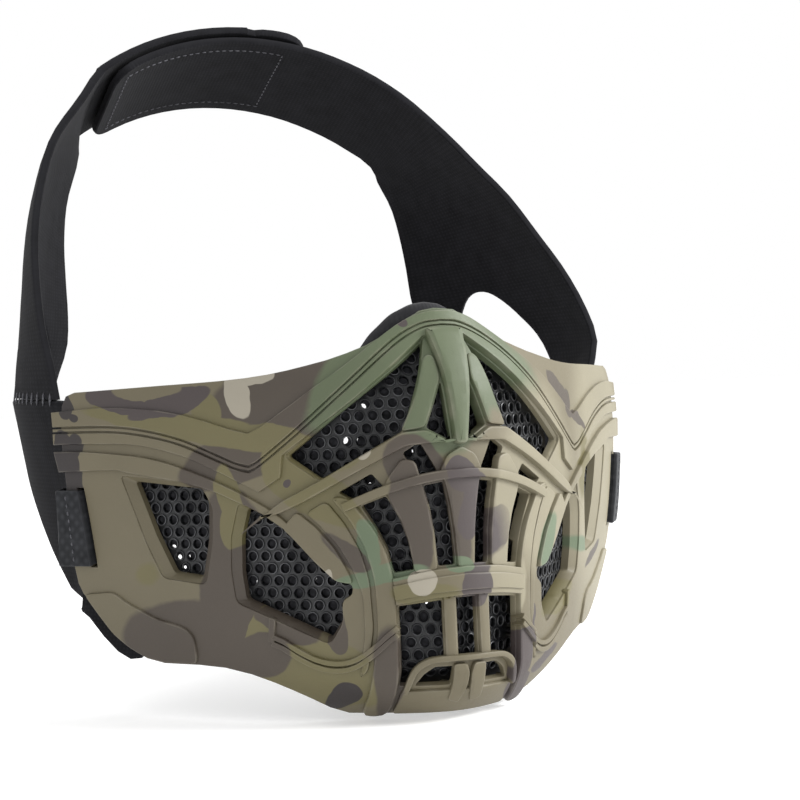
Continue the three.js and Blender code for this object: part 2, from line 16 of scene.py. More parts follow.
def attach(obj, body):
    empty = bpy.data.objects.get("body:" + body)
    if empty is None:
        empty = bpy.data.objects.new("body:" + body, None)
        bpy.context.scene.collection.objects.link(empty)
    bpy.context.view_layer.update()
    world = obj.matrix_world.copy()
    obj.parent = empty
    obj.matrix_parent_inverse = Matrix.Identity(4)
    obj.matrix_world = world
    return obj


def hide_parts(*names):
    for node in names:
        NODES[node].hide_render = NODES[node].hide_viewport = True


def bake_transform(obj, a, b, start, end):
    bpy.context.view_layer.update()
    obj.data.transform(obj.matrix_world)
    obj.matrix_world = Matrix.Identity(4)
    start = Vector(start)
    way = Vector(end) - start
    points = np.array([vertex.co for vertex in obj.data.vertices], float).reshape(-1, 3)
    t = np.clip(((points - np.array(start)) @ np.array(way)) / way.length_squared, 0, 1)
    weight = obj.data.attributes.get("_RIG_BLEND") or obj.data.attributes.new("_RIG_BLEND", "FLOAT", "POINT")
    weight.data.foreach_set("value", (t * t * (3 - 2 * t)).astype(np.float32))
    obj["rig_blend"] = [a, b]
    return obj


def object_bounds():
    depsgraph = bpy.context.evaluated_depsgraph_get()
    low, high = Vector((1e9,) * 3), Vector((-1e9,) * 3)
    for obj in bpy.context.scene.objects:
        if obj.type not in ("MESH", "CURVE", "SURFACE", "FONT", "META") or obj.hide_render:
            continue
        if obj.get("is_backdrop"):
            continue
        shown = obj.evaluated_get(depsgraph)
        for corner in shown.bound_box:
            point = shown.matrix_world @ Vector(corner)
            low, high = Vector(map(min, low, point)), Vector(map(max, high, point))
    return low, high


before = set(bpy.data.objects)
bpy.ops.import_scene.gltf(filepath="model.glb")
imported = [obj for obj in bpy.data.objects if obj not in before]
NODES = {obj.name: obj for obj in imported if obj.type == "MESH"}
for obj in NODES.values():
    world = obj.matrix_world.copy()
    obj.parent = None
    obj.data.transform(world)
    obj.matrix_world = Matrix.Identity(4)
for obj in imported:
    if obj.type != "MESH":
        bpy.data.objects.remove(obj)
CAD_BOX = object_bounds()
MM = 0.001

# %% [markdown]
# ## Camera, floor and light
# A long lens from slightly to the wearer's right, almost level with the mask. The floor and
# the world have one pale tone, so the floor's edge doesn't show, and three large soft lights
# stand round the mask. The strongest is at the wearer's left, where the shell looks bleached.

# %% Camera
AZIMUTH, ELEVATION, ROLL = math.radians(-23.2652), math.radians(1.2146), math.radians(-2.6703)
back = Vector((
    math.sin(AZIMUTH) * math.cos(ELEVATION),
    -math.cos(AZIMUTH) * math.cos(ELEVATION),
    math.sin(ELEVATION),
))
level = Vector((math.cos(AZIMUTH), math.sin(AZIMUTH), 0))
across = level * math.cos(ROLL) + back.cross(level) * math.sin(ROLL)
upward = back.cross(across)
camera = bpy.data.objects.new("camera", bpy.data.cameras.new("camera"))
camera.data.lens = 99.084
camera.data.sensor_width = 36
camera.matrix_world = Matrix((across, upward, back)).transposed().to_4x4()
camera.location = (-0.24818, -0.54806, -0.01140)
camera.data.clip_start = 0.01
bpy.context.scene.collection.objects.link(camera)
bpy.context.scene.camera = camera
print("camera:", round(camera.data.lens, 1), "mm at", tuple(round(x, 3) for x in camera.location))

# %% Floor and world
FLOOR_DROP = 0.002
PALE = (0.94, 0.94, 0.94, 1)
WHITE = (1, 1, 1, 1)


def new_material(name, base, roughness, metallic=0.0):
    """A material with a Principled shader, and its nodes, links and shader."""
    material = bpy.data.materials.new(name)
    material.use_nodes = True
    tree = material.node_tree
    shader = tree.nodes["Principled BSDF"]
    shader.inputs["Base Color"].default_value = base
    shader.inputs["Roughness"].default_value = roughness
    shader.inputs["Metallic"].default_value = metallic
    return material, tree, shader


def object_from(name, bm, *materials):
    """Puts a finished bmesh into a new object at the origin."""
    mesh = bpy.data.meshes.new(name)
    bm.to_mesh(mesh)
    bm.free()
    for material in materials:
        mesh.materials.append(material)
    made = bpy.data.objects.new(name, mesh)
    bpy.context.scene.collection.objects.link(made)
    return made


floor_paint, _, floor_shader = new_material("floor_paint", PALE, 0.9)
floor_shader.inputs["Emission Color"].default_value = WHITE
floor_shader.inputs["Emission Strength"].default_value = 0.2
bm = bmesh.new()
bmesh.ops.create_grid(bm, x_segments=1, y_segments=1, size=4)
bmesh.ops.translate(bm, vec=(0, 0, CAD_BOX[0].z - FLOOR_DROP), verts=bm.verts)
floor = object_from("floor", bm, floor_paint)
floor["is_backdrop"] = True
world = bpy.data.worlds.new("studio")
bpy.context.scene.world = world
world.use_nodes = True
world.node_tree.nodes["Background"].inputs["Color"].default_value = WHITE
world.node_tree.nodes["Background"].inputs["Strength"].default_value = 1.0
bpy.context.scene.view_settings.view_transform = "Standard"
print("floor at", round(CAD_BOX[0].z - FLOOR_DROP, 4), "m")

# %% Lights
LIGHTS = {  # place, size, watts
    "key": ((0.95, -0.5, 0.5), 0.6, 20.0),
    "fill": ((-0.8, -0.7, 0.5), 0.9, 0.3),
    "top": ((0.0, 0.1, 1.1), 0.8, 1.5),
}
MIDDLE = (CAD_BOX[0] + CAD_BOX[1]) / 2
for name, (place, size, watts) in LIGHTS.items():
    lamp = bpy.data.lights.new(name, "AREA")
    lamp.shape = "DISK"
    lamp.size = size
    lamp.energy = watts
    lit = bpy.data.objects.new(name, lamp)
    lit.location = place
    lit.rotation_euler = (MIDDLE - Vector(place)).to_track_quat("-Z", "Y").to_euler()
    bpy.context.scene.collection.objects.link(lit)
    print("light", name, watts, "W")

# %% [markdown]
# ## The shell's surface
# The real shell is one curved moulding. It is easiest to draw flat, like a paper pattern: u
# runs round the face from the nose, v runs up from the nose bridge, and w is the height off
# the surface. One function then wraps any point of the pattern onto the CAD's surface, so
# every plate, mesh and pad is modelled flat and bent last.

# %% Wrap the pattern
WIDTH_AT_JAW, WIDEST_AT, WIDTH_FALL = 93.2, -38, 278
NOSE_ROUNDING, BOW_POWER, DEPTH, HALF_WIDTH = 5.0, 0.8, 82.0, 90.0


def bow(x, half_width):
    def soft(t):
        return (t * t + NOSE_ROUNDING**2) ** BOW_POWER

    return (soft(x) - soft(0)) / (soft(half_width) - soft(0))


ACROSS_AT = np.arange(0, 126.0)
STEPS = np.hypot(1, DEPTH * np.diff(bow(ACROSS_AT, HALF_WIDTH)))
ARC_AT = np.concatenate([[0], np.cumsum(STEPS)])


def face_point(u, v):
    """The shell's outer face, in millimetres, for arrays of u and v."""
    x = np.sign(u) * np.interp(np.abs(u), ARC_AT, ACROSS_AT)
    chin = np.maximum(0, (-v - 95) / 15)
    line = -9.8 * (1 - np.exp(-((v / 13) ** 2))) + 11 * chin * chin
    y = line + DEPTH * bow(x, WIDTH_AT_JAW - (v - WIDEST_AT) ** 2 / WIDTH_FALL)
    return np.stack([x, y, v], axis=-1)


def off_surface(surface, a, b, w, step_a, step_b):
    along_a = surface(a + step_a, b) - surface(a - step_a, b)
    along_b = surface(a, b + step_b) - surface(a, b - step_b)
    out = np.cross(along_a, along_b)
    out /= np.linalg.norm(out, axis=-1, keepdims=True)
    return surface(a, b) + out * w[..., None]


def wrap_face(flat):
    """Flat points (u, v, w) to the row frame, in metres."""
    return off_surface(face_point, flat[:, 0], flat[:, 1], flat[:, 2], 0.5, 0.5) * MM


print("shell edge at u 122:", face_point(np.array(122.0), np.array(-20.5)).round(1))

# %% [markdown]
# ## A plate with rounded edges
# Most of the mask is flat plates with windows, rounded along their edges: the shell, its
# raised bands, the straps. A plate starts as its outline, filled with the windows left open,
# and inset a few times while it rises, which rounds the edge. Planes then cut it into cells
# small enough to bend, and the spare diagonals are dissolved so that it shades smoothly.

# %% Outlines


def rounded(points, radius, corner_steps=3):
    """The outline with each corner turned into a short curve."""
    made = []
    count = len(points)
    for i, here in enumerate(points):
        here = Vector(here[:2])
        before = Vector(points[i - 1][:2]) - here
        after = Vector(points[(i + 1) % count][:2]) - here
        start = here + before.normalized() * min(radius, before.length * 0.45)
        end = here + after.normalized() * min(radius, after.length * 0.45)
        for k in range(corner_steps + 1):
            t = k / corner_steps
            made.append(tuple(start * (1 - t) ** 2 + here * 2 * t * (1 - t) + end * t * t))
    return made


def smooth_line(points, pieces=4):
    """A smooth open line through the points (Catmull-Rom)."""
    p = [Vector(q) for q in points]
    p = [p[0] * 2 - p[1], *p, p[-1] * 2 - p[-2]]
    made = []
    for a, b, c, d in zip(p, p[1:], p[2:], p[3:]):
        for k in range(pieces):
            t = k / pieces
            made.append(tuple(
                (b * 2 + (c - a) * t + (a * 2 - b * 5 + c * 4 - d) * t * t
                 + (b * 3 - a - c * 3 + d) * t**3) / 2
            ))
    made.append(tuple(p[-2]))
    return made


def ribbon(points, half, pieces=4):
    """The outline of a band of even or changing width along a smooth line."""
    wide = [(*q[:2], q[2] if len(q) > 2 else half) for q in points]
    line = [Vector(q) for q in smooth_line(wide, pieces)]
    left, right = [], []
    for i, here in enumerate(line):
        along = (line[min(i + 1, len(line) - 1)] - line[max(i - 1, 0)]).to_2d().normalized()
        side = Vector((-along.y, along.x)) * here.z
        left.append(tuple(here.to_2d() + side))
        right.append(tuple(here.to_2d() - side))
    return left + right[::-1]


def widened(points, widths):
    """Moves each edge of a window outwards by its own width, and finds the new corners."""
    corners = [Vector(q) for q in points]
    area = sum(a.cross(b) for a, b in zip(corners, corners[1:] + corners[:1]))
    turn = 1 if area > 0 else -1
    lines = []
    for i, a in enumerate(corners):
        along = (corners[(i + 1) % len(corners)] - a).normalized()
        lines.append((a + Vector((along.y, -along.x)) * turn * widths[i % len(widths)], along))
    made = []
    for i, (p, d) in enumerate(lines):
        q, e = lines[i - 1]
        cross = e.cross(d)
        if abs(cross) < 0.05:
            made.append(tuple(p))
        else:
            made.append(tuple(q + e * ((p - q).cross(d) / cross)))
    return made


def mirror(points):
    """The same points on the other side of the nose."""
    return [(-q[0], *q[1:]) for q in points]


def circle(u, v, radius, sides):
    """A round outline with the given number of sides."""
    turns = [math.tau * k / sides for k in range(sides)]
    return [(u + radius * math.cos(a), v + radius * math.sin(a)) for a in turns]


print("a rounded square has", len(rounded([(0, 0), (9, 0), (9, 9), (0, 9)], 1)), "points")

# %% The plate itself
UV_SPAN = 100.0  # millimetres of pattern to one unit of the UV map
FLAT_TO_FOOT = 0.1  # what lies higher than this over the foot is lifted with the top
GRID_U = [*np.arange(0, 18, 1.6), *np.arange(19, 44, 3), *np.arange(46, 131, 5)]
GRID_U = sorted({round(float(s * x), 2) for x in GRID_U for s in (1, -1)})
GRID_V = [*np.arange(4, -32, -3), *np.arange(-36, -95, -6), *np.arange(-97, -116, -3)]
GRID_V = [float(v) for v in GRID_V]


def inside(point, loop):
    """True if the point lies within the closed loop of points."""
    x, y = point
    hit = False
    for a, b in zip(loop, loop[1:] + loop[:1]):
        if (a[1] > y) != (b[1] > y) and x < a[0] + (b[0] - a[0]) * (y - a[1]) / (b[1] - a[1]):
            hit = not hit
    return hit


def fill_flat(outlines):
    """A flat mesh inside the first outline and outside the others."""
    points, edges = [], []
    for loop in outlines:
        first, count = len(points), len(loop)
        points += [Vector(q[:2]) for q in loop]
        edges += [(first + i, first + (i + 1) % count) for i in range(count)]
    filled = delaunay_2d_cdt(points, edges, [], 1, 1e-3)
    bm = bmesh.new()
    verts = [bm.verts.new((q.x, q.y, 0)) for q in filled[0]]
    for corners in filled[2]:
        middle = sum((filled[0][i] for i in corners), Vector((0, 0))) / len(corners)
        if inside(middle, outlines[0]) and not any(inside(middle, loop) for loop in outlines[1:]):
            bm.faces.new([verts[i] for i in corners])
    loose = [v for v in bm.verts if not v.link_faces]
    bmesh.ops.delete(bm, geom=loose, context="VERTS")
    bm.normal_update()
    for f in bm.faces:
        if f.normal.z < 0:
            f.normal_flip()
    return bm


def cut_cells(bm, grid_u, grid_v):
    """Cuts along the grid's lines, then dissolves the diagonals between coplanar faces."""
    xs = [v.co.x for v in bm.verts]
    ys = [v.co.y for v in bm.verts]
    for axis, lines, lo, hi in ((0, grid_u, min(xs), max(xs)), (1, grid_v, min(ys), max(ys))):
        for at in lines:
            if lo + 0.2 < at < hi - 0.2:
                co, no = [0, 0, 0], [0, 0, 0]
                co[axis], no[axis] = at, 1
                geom = [*bm.verts, *bm.edges, *bm.faces]
                bmesh.ops.bisect_plane(bm, geom=geom, dist=1e-4, plane_co=co, plane_no=no)
    spare = []
    for e in bm.edges:
        if len(e.link_faces) == 2 and all(abs(f.normal.z) > 0.9999 for f in e.link_faces):
            a, b = e.verts[0].co, e.verts[1].co
            on_u = abs(a.x - b.x) < 1e-3 and min(abs(a.x - g) for g in grid_u) < 1e-3
            on_v = abs(a.y - b.y) < 1e-3 and min(abs(a.y - g) for g in grid_v) < 1e-3
            if not (on_u or on_v):
                spare.append(e)
    bmesh.ops.dissolve_edges(bm, edges=spare, use_verts=False)


def join(target, bm):
    """Adds one bmesh to another and frees it."""
    spare = bpy.data.meshes.new("spare")
    bm.to_mesh(spare)
    bm.free()
    target.from_mesh(spare)
    bpy.data.meshes.remove(spare)


def plate(target, outlines, top, foot, edge=0.5, rounds=2, lift=None, grids=None, foot_edge=0.0):
    """Adds a closed plate to the target bmesh, still flat, between the heights foot and top."""
    bm = fill_flat(outlines)
    base = bmesh.ops.extrude_face_region(bm, geom=bm.faces, use_keep_orig=True)
    bm.normal_update()
    upper = [f for f in base["geom"] if isinstance(f, bmesh.types.BMFace)]
    lower = [f for f in bm.faces if f not in set(upper) and abs(f.normal.z) > 0.9]
    lower = [f for f in lower if all(v.co.z == 0 for v in f.verts)]
    upper_verts = {v for f in upper for v in f.verts}
    for v in bm.verts:
        v.co.z = top - edge if v in upper_verts else foot + foot_edge
    edge_layer = bm.verts.layers.float.new("edge")
    bm.normal_update()
    for f in upper:
        if f.normal.z < 0:
            f.normal_flip()
    for k in range(rounds if edge > 0 else 0):
        a, b = (math.pi / 2 * j / rounds for j in (k, k + 1))
        for v in {v for f in upper for v in f.verts}:
            v[edge_layer] = 1.0
        bmesh.ops.inset_region(
            bm, faces=upper, use_boundary=True, use_even_offset=True,
            thickness=edge * (math.cos(a) - math.cos(b)), depth=0,
        )
        for v in {v for f in upper for v in f.verts}:
            v.co.z = top - edge + edge * math.sin(b)
            v[edge_layer] = 0.0 if k == rounds - 1 else 1.0
    if foot_edge > 0:
        bmesh.ops.recalc_face_normals(bm, faces=bm.faces)
        bmesh.ops.inset_region(
            bm, faces=[f for f in lower if f.is_valid], use_boundary=True,
            use_even_offset=True, thickness=foot_edge, depth=0,
        )
        for v in {v for f in lower if f.is_valid for v in f.verts}:
            v.co.z = foot
    cut_cells(bm, *(grids or (GRID_U, GRID_V)))
    bmesh.ops.recalc_face_normals(bm, faces=bm.faces)
    if lift:
        for v in bm.verts:
            if v.co.z > foot + FLAT_TO_FOOT:
                v.co.z += lift(v.co.x, v.co.y)
    join(target, bm)


def finish_piece(name, bm, wrap, material, sharp=40):
    """Stores the flat pattern as UVs, bends the plates into place and makes the object."""
    uv = bm.loops.layers.uv.new("pattern")
    for f in bm.faces:
        for loop in f.loops:
            loop[uv].uv = (loop.vert.co.x / UV_SPAN, loop.vert.co.y / UV_SPAN)
    flat = np.array([v.co for v in bm.verts])
    placed = wrap(flat)
    for v, co in zip(bm.verts, placed):
        v.co = co
    bmesh.ops.recalc_face_normals(bm, faces=bm.faces)
    for f in bm.faces:
        f.smooth = True
    made = object_from(name, bm, material)
    made.data.set_sharp_from_angle(angle=math.radians(sharp))
    soften = made.modifiers.new("even_shading", "WEIGHTED_NORMAL")
    soften.keep_sharp = True
    triangles = sum(len(p.vertices) - 2 for p in made.data.polygons)
    print(name, triangles, "triangles")
    return made


def new_plates():
    """An empty bmesh that keeps, for each vertex, whether it is on a rounded edge."""
    bm = bmesh.new()
    bm.verts.layers.float.new("edge")
    return bm


print("plate cells:", len(GRID_U), "by", len(GRID_V))

# %% [markdown]
# ## The camouflage print
# The shell is dipped in a printed pattern: soft organic shapes of brown, olive, sage and cream
# over khaki, with crisp edges. Each shape is an ellipse placed on the pattern, and a noise
# pushes its border about so that it looks hand cut. One node group makes one blot, and the
# material lays them over each other, as the printing screens did.

# %% Colours


def srgb(red, green, blue):
    """A colour picked on a 0 to 255 scale, as the linear colour that shaders use."""
    made = []
    for c in (red, green, blue):
        c /= 255
        made.append(c / 12.92 if c < 0.04045 else ((c + 0.055) / 1.055) ** 2.4)
    return (*made, 1)


KHAKI = srgb(94, 87, 67)
TAUPE = srgb(64, 56, 47)
UMBER = srgb(37, 31, 30)
PLUM = srgb(60, 52, 51)
OLIVE = srgb(92, 86, 55)
SAGE = srgb(77, 86, 62)
MINT = srgb(84, 97, 74)
CREAM = srgb(142, 136, 122)
TAN = srgb(120, 114, 94)
print("khaki is", tuple(round(c, 3) for c in KHAKI[:3]))

# %% Node helpers and the shared groups


def add_node(tree, kind, links=None, **settings):
    """Adds a shader node, sets its properties, and fills its inputs with values or links."""
    node = tree.nodes.new("ShaderNode" + kind)
    for key, value in settings.items():
        setattr(node, key, value)
    for key, value in (links or {}).items():
        if isinstance(value, bpy.types.NodeSocket):
            tree.links.new(value, node.inputs[key])
        else:
            node.inputs[key].default_value = value
    return node


def new_group(name, inputs, outputs):
    """An empty node group with named sockets: (name, kind, default) going in, (name, kind) out."""
    group = bpy.data.node_groups.new(name, "ShaderNodeTree")
    for label, kind, default in inputs:
        socket = group.interface.new_socket(label, in_out="INPUT", socket_type="NodeSocket" + kind)
        if default is not None:
            socket.default_value = default
    for label, kind in outputs:
        group.interface.new_socket(label, in_out="OUTPUT", socket_type="NodeSocket" + kind)
    return group, group.nodes.new("NodeGroupInput").outputs, group.nodes.new("NodeGroupOutput")


def use_group(tree, group, links):
    """Places a node group in a material, with its own values or links."""
    return add_node(tree, "Group", links, node_tree=group)


blot, given, result = new_group(
    "blot",
    [("Pattern", "Vector", None), ("Centre", "Vector", None), ("Turn", "Vector", None),
     ("Size", "Vector", (1, 1, 1)), ("Inner", "Float", 0.95)],
    [("Mask", "Float")],
)
local = add_node(blot, "Mapping", {
    "Vector": given["Pattern"], "Location": given["Centre"],
    "Rotation": given["Turn"], "Scale": given["Size"],
}, vector_type="TEXTURE")
radius = add_node(blot, "VectorMath", {0: local.outputs[0]}, operation="LENGTH")
fade = add_node(blot, "MapRange", {
    "Value": radius.outputs["Value"], "From Min": 1.0, "From Max": given["Inner"],
})
blot.links.new(fade.outputs[0], result.inputs["Mask"])

grain, given, result = new_group(
    "grain",
    [("Position", "Vector", None), ("Size", "Float", 1.0)],
    [("Value", "Float")],
)
speckle = add_node(grain, "TexNoise", {
    "Vector": given["Position"], "Scale": given["Size"], "Detail": 3.0, "Roughness": 0.6,
})
grain.links.new(speckle.outputs["Fac"], result.inputs["Value"])

# A patchy mask on rounded edges: worn paint on the shell, and on the mesh rims partly wear, partly a painted
# highlight.
worn_and_highlit_edges, given, result = new_group(
    "worn_and_highlit_edges",
    [("Edge", "Float", 0.0), ("Position", "Vector", None)],
    [("Mask", "Float")],
)
patchy = add_node(worn_and_highlit_edges, "TexNoise", {
    "Vector": given["Position"], "Scale": 120.0, "Detail": 4.0,
})
often = add_node(worn_and_highlit_edges, "MapRange", {
    "Value": patchy.outputs["Fac"], "From Min": 0.42, "From Max": 0.62,
})
both = add_node(worn_and_highlit_edges, "Math", {0: given["Edge"], 1: often.outputs[0]}, operation="MULTIPLY")
worn_and_highlit_edges.links.new(both.outputs[0], result.inputs["Mask"])
TOOTH_DEPTH = 0.0002


def fine_grain(tree, shader, size, smooth, rough, tooth=0.0):
    """Fine grain that varies the gloss and, with a tooth, roughens the surface."""
    place = add_node(tree, "TexCoord")
    fine = use_group(tree, grain, {"Position": place.outputs["Object"], "Size": size}).outputs[0]
    gloss = add_node(tree, "MapRange", {"Value": fine, "To Min": smooth, "To Max": rough})
    tree.links.new(gloss.outputs[0], shader.inputs["Roughness"])
    if tooth:
        bumps = add_node(tree, "Bump", {
            "Height": fine, "Strength": tooth, "Distance": TOOTH_DEPTH,
        })
        tree.links.new(bumps.outputs[0], shader.inputs["Normal"])
    return fine


print("node groups:", [g.name for g in bpy.data.node_groups])

# %% The blots
BLOTS = [  # colour, u, v, half width, half height, turn in degrees, inner share of the edge
    (TAUPE, -60, -36, 24, 8, 18, 0.93),
    (TAUPE, -76, -89, 25, 12, -8, 0.9),
    (TAUPE, -65, -72, 12, 28, 4, 0.93),
    (TAUPE, -48, -19, 24, 9, 14, 0.9),
    (OLIVE, -80, -28, 36, 4.4, -10, 0.92),
    (OLIVE, -56, -31.5, 13, 3.4, 0, 0.92),
    (OLIVE, -72, -24, 5, 5, 0, 0.9),
    (PLUM, -101, -21.3, 13, 2.9, -17, 0.95),
    (PLUM, -84, -22.2, 15, 3.2, 14, 0.95),
    (KHAKI, -91, -18.2, 12, 3.1, 0, 0.95),
    (UMBER, -120.6, -21, 2.4, 4, 0, 0.95),
    (UMBER, -118, -24.3, 1.6, 1.3, 0, 0.95),
    (UMBER, -121, -40, 5, 12.5, 8, 0.97),
    (UMBER, -117.6, -33, 2.4, 4, 0, 0.95),
    (CREAM, -61.5, -20.5, 4, 6.6, 4, 0.95),
    (CREAM, -57, -15.8, 7, 2.0, 12, 0.95),
    (OLIVE, -66, -48, 3.8, 10, 6, 0.93),
    (OLIVE, -66.5, -58, 3.8, 6, -8, 0.93),
    (OLIVE, -93, -69, 5, 3.4, 30, 0.6),
    (OLIVE, -58.6, -86, 2.7, 8, -8, 0.95),
    (OLIVE, -41, -98, 22, 10, -14, 0.93),
    (TAUPE, -57, -93, 10, 7, 10, 0.93),
    (TAUPE, -50, -84, 11, 4, -22, 0.93),
    (TAUPE, -35.5, -86.5, 3, 7, 8, 0.95),
    (UMBER, -32.5, -105.5, 4.4, 3.6, 10, 0.95),
    (OLIVE, -46, -40.5, 9, 12, 30, 0.93),
    (OLIVE, -40, -49, 15, 6, -28, 0.93),
    (SAGE, -14, -13, 34, 12.5, 32, 0.9),
    (SAGE, 8, -14, 32, 12.5, -26, 0.85),
    (SAGE, -4, -24, 15, 16, 0, 0.85),
    (OLIVE, -31, -38.5, 15, 3.6, 28, 0.8),
    (PLUM, -11, -2.9, 1.6, 1.6, 0, 0.95),
    (PLUM, -47, -45.6, 1.2, 1.2, 0, 0.95),
    (CREAM, -26, -38.4, 2.6, 1.7, 30, 0.95),
    (TAUPE, -13, -42, 7.5, 10, 18, 0.93),
    (TAUPE, -14, -57, 5.5, 14, 10, 0.93),
    (TAUPE, -3, -56, 5, 14, 8, 0.9),
    (PLUM, -1, -44, 4.6, 5, 30, 0.95),
    (PLUM, 2.4, -53, 3.6, 10, -6, 0.95),
    (TAN, 18, -52, 9, 15, -14, 0.85),
    (PLUM, 9.4, -60.5, 5.4, 7, -18, 0.95),
    (PLUM, 7, -67, 3.4, 4, 20, 0.95),
    (TAN, 14, -76, 8, 12, 0, 0.9),
    (PLUM, 2.8, -74.2, 5, 6.2, -10, 0.95),
    (OLIVE, -12, -76, 10, 3, 0, 0.85),
    (MINT, -26, -62, 3.6, 7, 18, 0.93),
    (MINT, -24, -71, 14, 2.8, 6, 0.93),
    (MINT, -2, -69, 4, 2.4, 0, 0.93),
    (CREAM, -11.6, -72.8, 3.7, 3.2, 0, 0.96),
    (CREAM, -37.6, -71, 1.7, 3, 14, 0.96),
    (TAUPE, -32, -64, 8, 3, -38, 0.9),
    (TAUPE, -20.4, -98, 4.6, 15, 4, 0.85),
    (TAN, 33, -48, 26, 30, 0, 0.7),
    (TAN, 96, -50, 44, 60, 0, 0.6),
    (PLUM, 20, -96, 5.4, 9, -24, 0.95),
    (PLUM, 21, -105, 5.5, 4.5, 10, 0.95),
    (PLUM, 28, -86.6, 1.3, 3.4, -14, 0.95),
    (PLUM, 38, -99.5, 10, 2, 14, 0.9),
    (TAUPE, 51, -22.4, 8, 2.2, -24, 0.93),
    (TAUPE, 56.5, -26.4, 3.4, 4.4, 20, 0.93),
    (TAUPE, 64, -32, 8, 1.5, -22, 0.93),
    (TAUPE, 86, -74, 13, 2, 18, 0.85),
    (OLIVE, 69, -46, 5, 12, 6, 0.7),
    (MINT, 36, -66, 4, 9, -30, 0.85),
    (MINT, 70, -70, 9, 3, -8, 0.7),
    (OLIVE, 46, -84, 15, 4, 12, 0.85),
]
WARPS = ((0.055, 7.0), (0.28, 1.1))  # noise scale for each mm, and its reach in mm

camo, tree, shader = new_material("camo_plastic", KHAKI, 0.55)
pattern = add_node(tree, "UVMap", uv_map="pattern")
spread = add_node(tree, "VectorMath", {0: pattern.outputs[0], "Scale": UV_SPAN}, operation="SCALE")
warped = spread.outputs[0]
for scale, reach in WARPS:
    noise = add_node(tree, "TexNoise", {
        "Vector": spread.outputs[0], "Scale": scale, "Detail": 1.0,
    })
    centred = add_node(
        tree, "VectorMath", {0: noise.outputs["Color"], 1: (0.5, 0.5, 0.5)}, operation="SUBTRACT",
    )
    pushed = add_node(tree, "VectorMath", {
        0: centred.outputs[0], 1: (reach, reach, 0), 2: warped,
    }, operation="MULTIPLY_ADD")
    warped = pushed.outputs[0]
print_colour = None
for colour, u, v, half_u, half_v, turn, inner in BLOTS:
    mask = use_group(tree, blot, {
        "Pattern": warped, "Centre": (u, v, 0), "Turn": (0, 0, math.radians(turn)),
        "Size": (half_u, half_v, 1e3), "Inner": inner,
    })
    under = KHAKI if print_colour is None else print_colour
    layer = add_node(tree, "Mix", {0: mask.outputs[0], 6: under, 7: colour}, data_type="RGBA")
    print_colour = layer.outputs[2]
place = add_node(tree, "TexCoord")
shade = use_group(tree, grain, {"Position": place.outputs["Object"], "Size": 38.0})
shade_range = add_node(tree, "MapRange", {
    "Value": shade.outputs[0], "To Min": 0.88, "To Max": 1.1,
})
tinted = add_node(
    tree, "VectorMath", {0: print_colour, "Scale": shade_range.outputs[0]}, operation="SCALE",
)
edge = add_node(tree, "Attribute", attribute_name="edge")
wear_and_highlight = use_group(
    tree, worn_and_highlit_edges, {"Edge": edge.outputs["Fac"], "Position": place.outputs["Object"]},
)
wear_share = add_node(tree, "Math", {0: wear_and_highlight.outputs[0], 1: 0.28}, operation="MULTIPLY")
faded = add_node(
    tree, "Mix", {0: wear_share.outputs[0], 6: tinted.outputs[0], 7: CREAM}, data_type="RGBA",
)
tree.links.new(faded.outputs[2], shader.inputs["Base Color"])
fine_grain(tree, shader, 1800.0, 0.46, 0.66, tooth=0.12)
print("camouflage:", len(BLOTS), "blots")

# %% [markdown]
# ## The moulded shell
# On the real mask this is one injection moulding, 3 mm thick: a base with windows, raised
# bands that sweep back from the nose frame to the ears, and a grille of ribs over the mouth.
# The base is one plate with its windows. The wide windows get sloping rims, the gaps between
# the ribs have plain thin walls, and every raised band is another plate sunk into the base.
# They are one object, as they are one piece of plastic.

# %% Base plate and windows
WALL = 3.2
TOP_EDGE = [
    (0, 0.5), (5, 0), (10, -2.4), (16, -6), (22, -8.7), (28, -10.6), (34, -12.2), (40, -13.4),
    (46, -14.5), (52, -15.4), (59, -16.1), (67, -16.6), (75, -16.9), (86, -17.2), (98, -17.6),
    (110, -18), (117, -18.2), (120.4, -19.2), (122.4, -22), (123.4, -27), (123.6, -34),
]
REAR_EDGE = [
    (123, -42), (121.8, -52), (120.3, -66), (118, -73), (116, -76), (110, -82), (104, -88),
    (98, -92), (92, -94.8), (86, -96), (75, -96.1), (67, -96.7), (59, -98.4), (52, -100.7),
    (46, -103), (40, -105.5), (34, -108.2), (28, -110), (18, -110),
]
GRILLE_GAPS = [  # the openings between the ribs, with plain walls
    [(4.2, -19.5), (9, -31.7), (2.5, -35.3)],
    [(11, -35.4), (15.7, -38.2), (11.6, -45), (6.6, -43.4)],
    [(24.6, -43.4), (34, -48.2), (29.8, -50.6), (21, -47.4)],
    [(20.8, -49.6), (27.8, -52), (24, -58), (21, -64), (19.4, -70.3), (13.9, -69.6),
     (15.3, -62), (17.3, -56)],
    [(5.1, -46.4), (10.5, -47.2), (9, -53), (8, -60), (7.4, -69), (2.7, -68.8),
     (3.2, -60), (4, -53)],
    [(6.9, -78.2), (18.6, -79.4), (18.2, -101.3), (16.4, -101.3), (13.2, -96), (9.8, -94),
     (6.9, -94)],
    [(4.6, -96.2), (9.4, -96.2), (12.2, -98.2), (14.2, -101.4), (4.8, -101.4)],
]
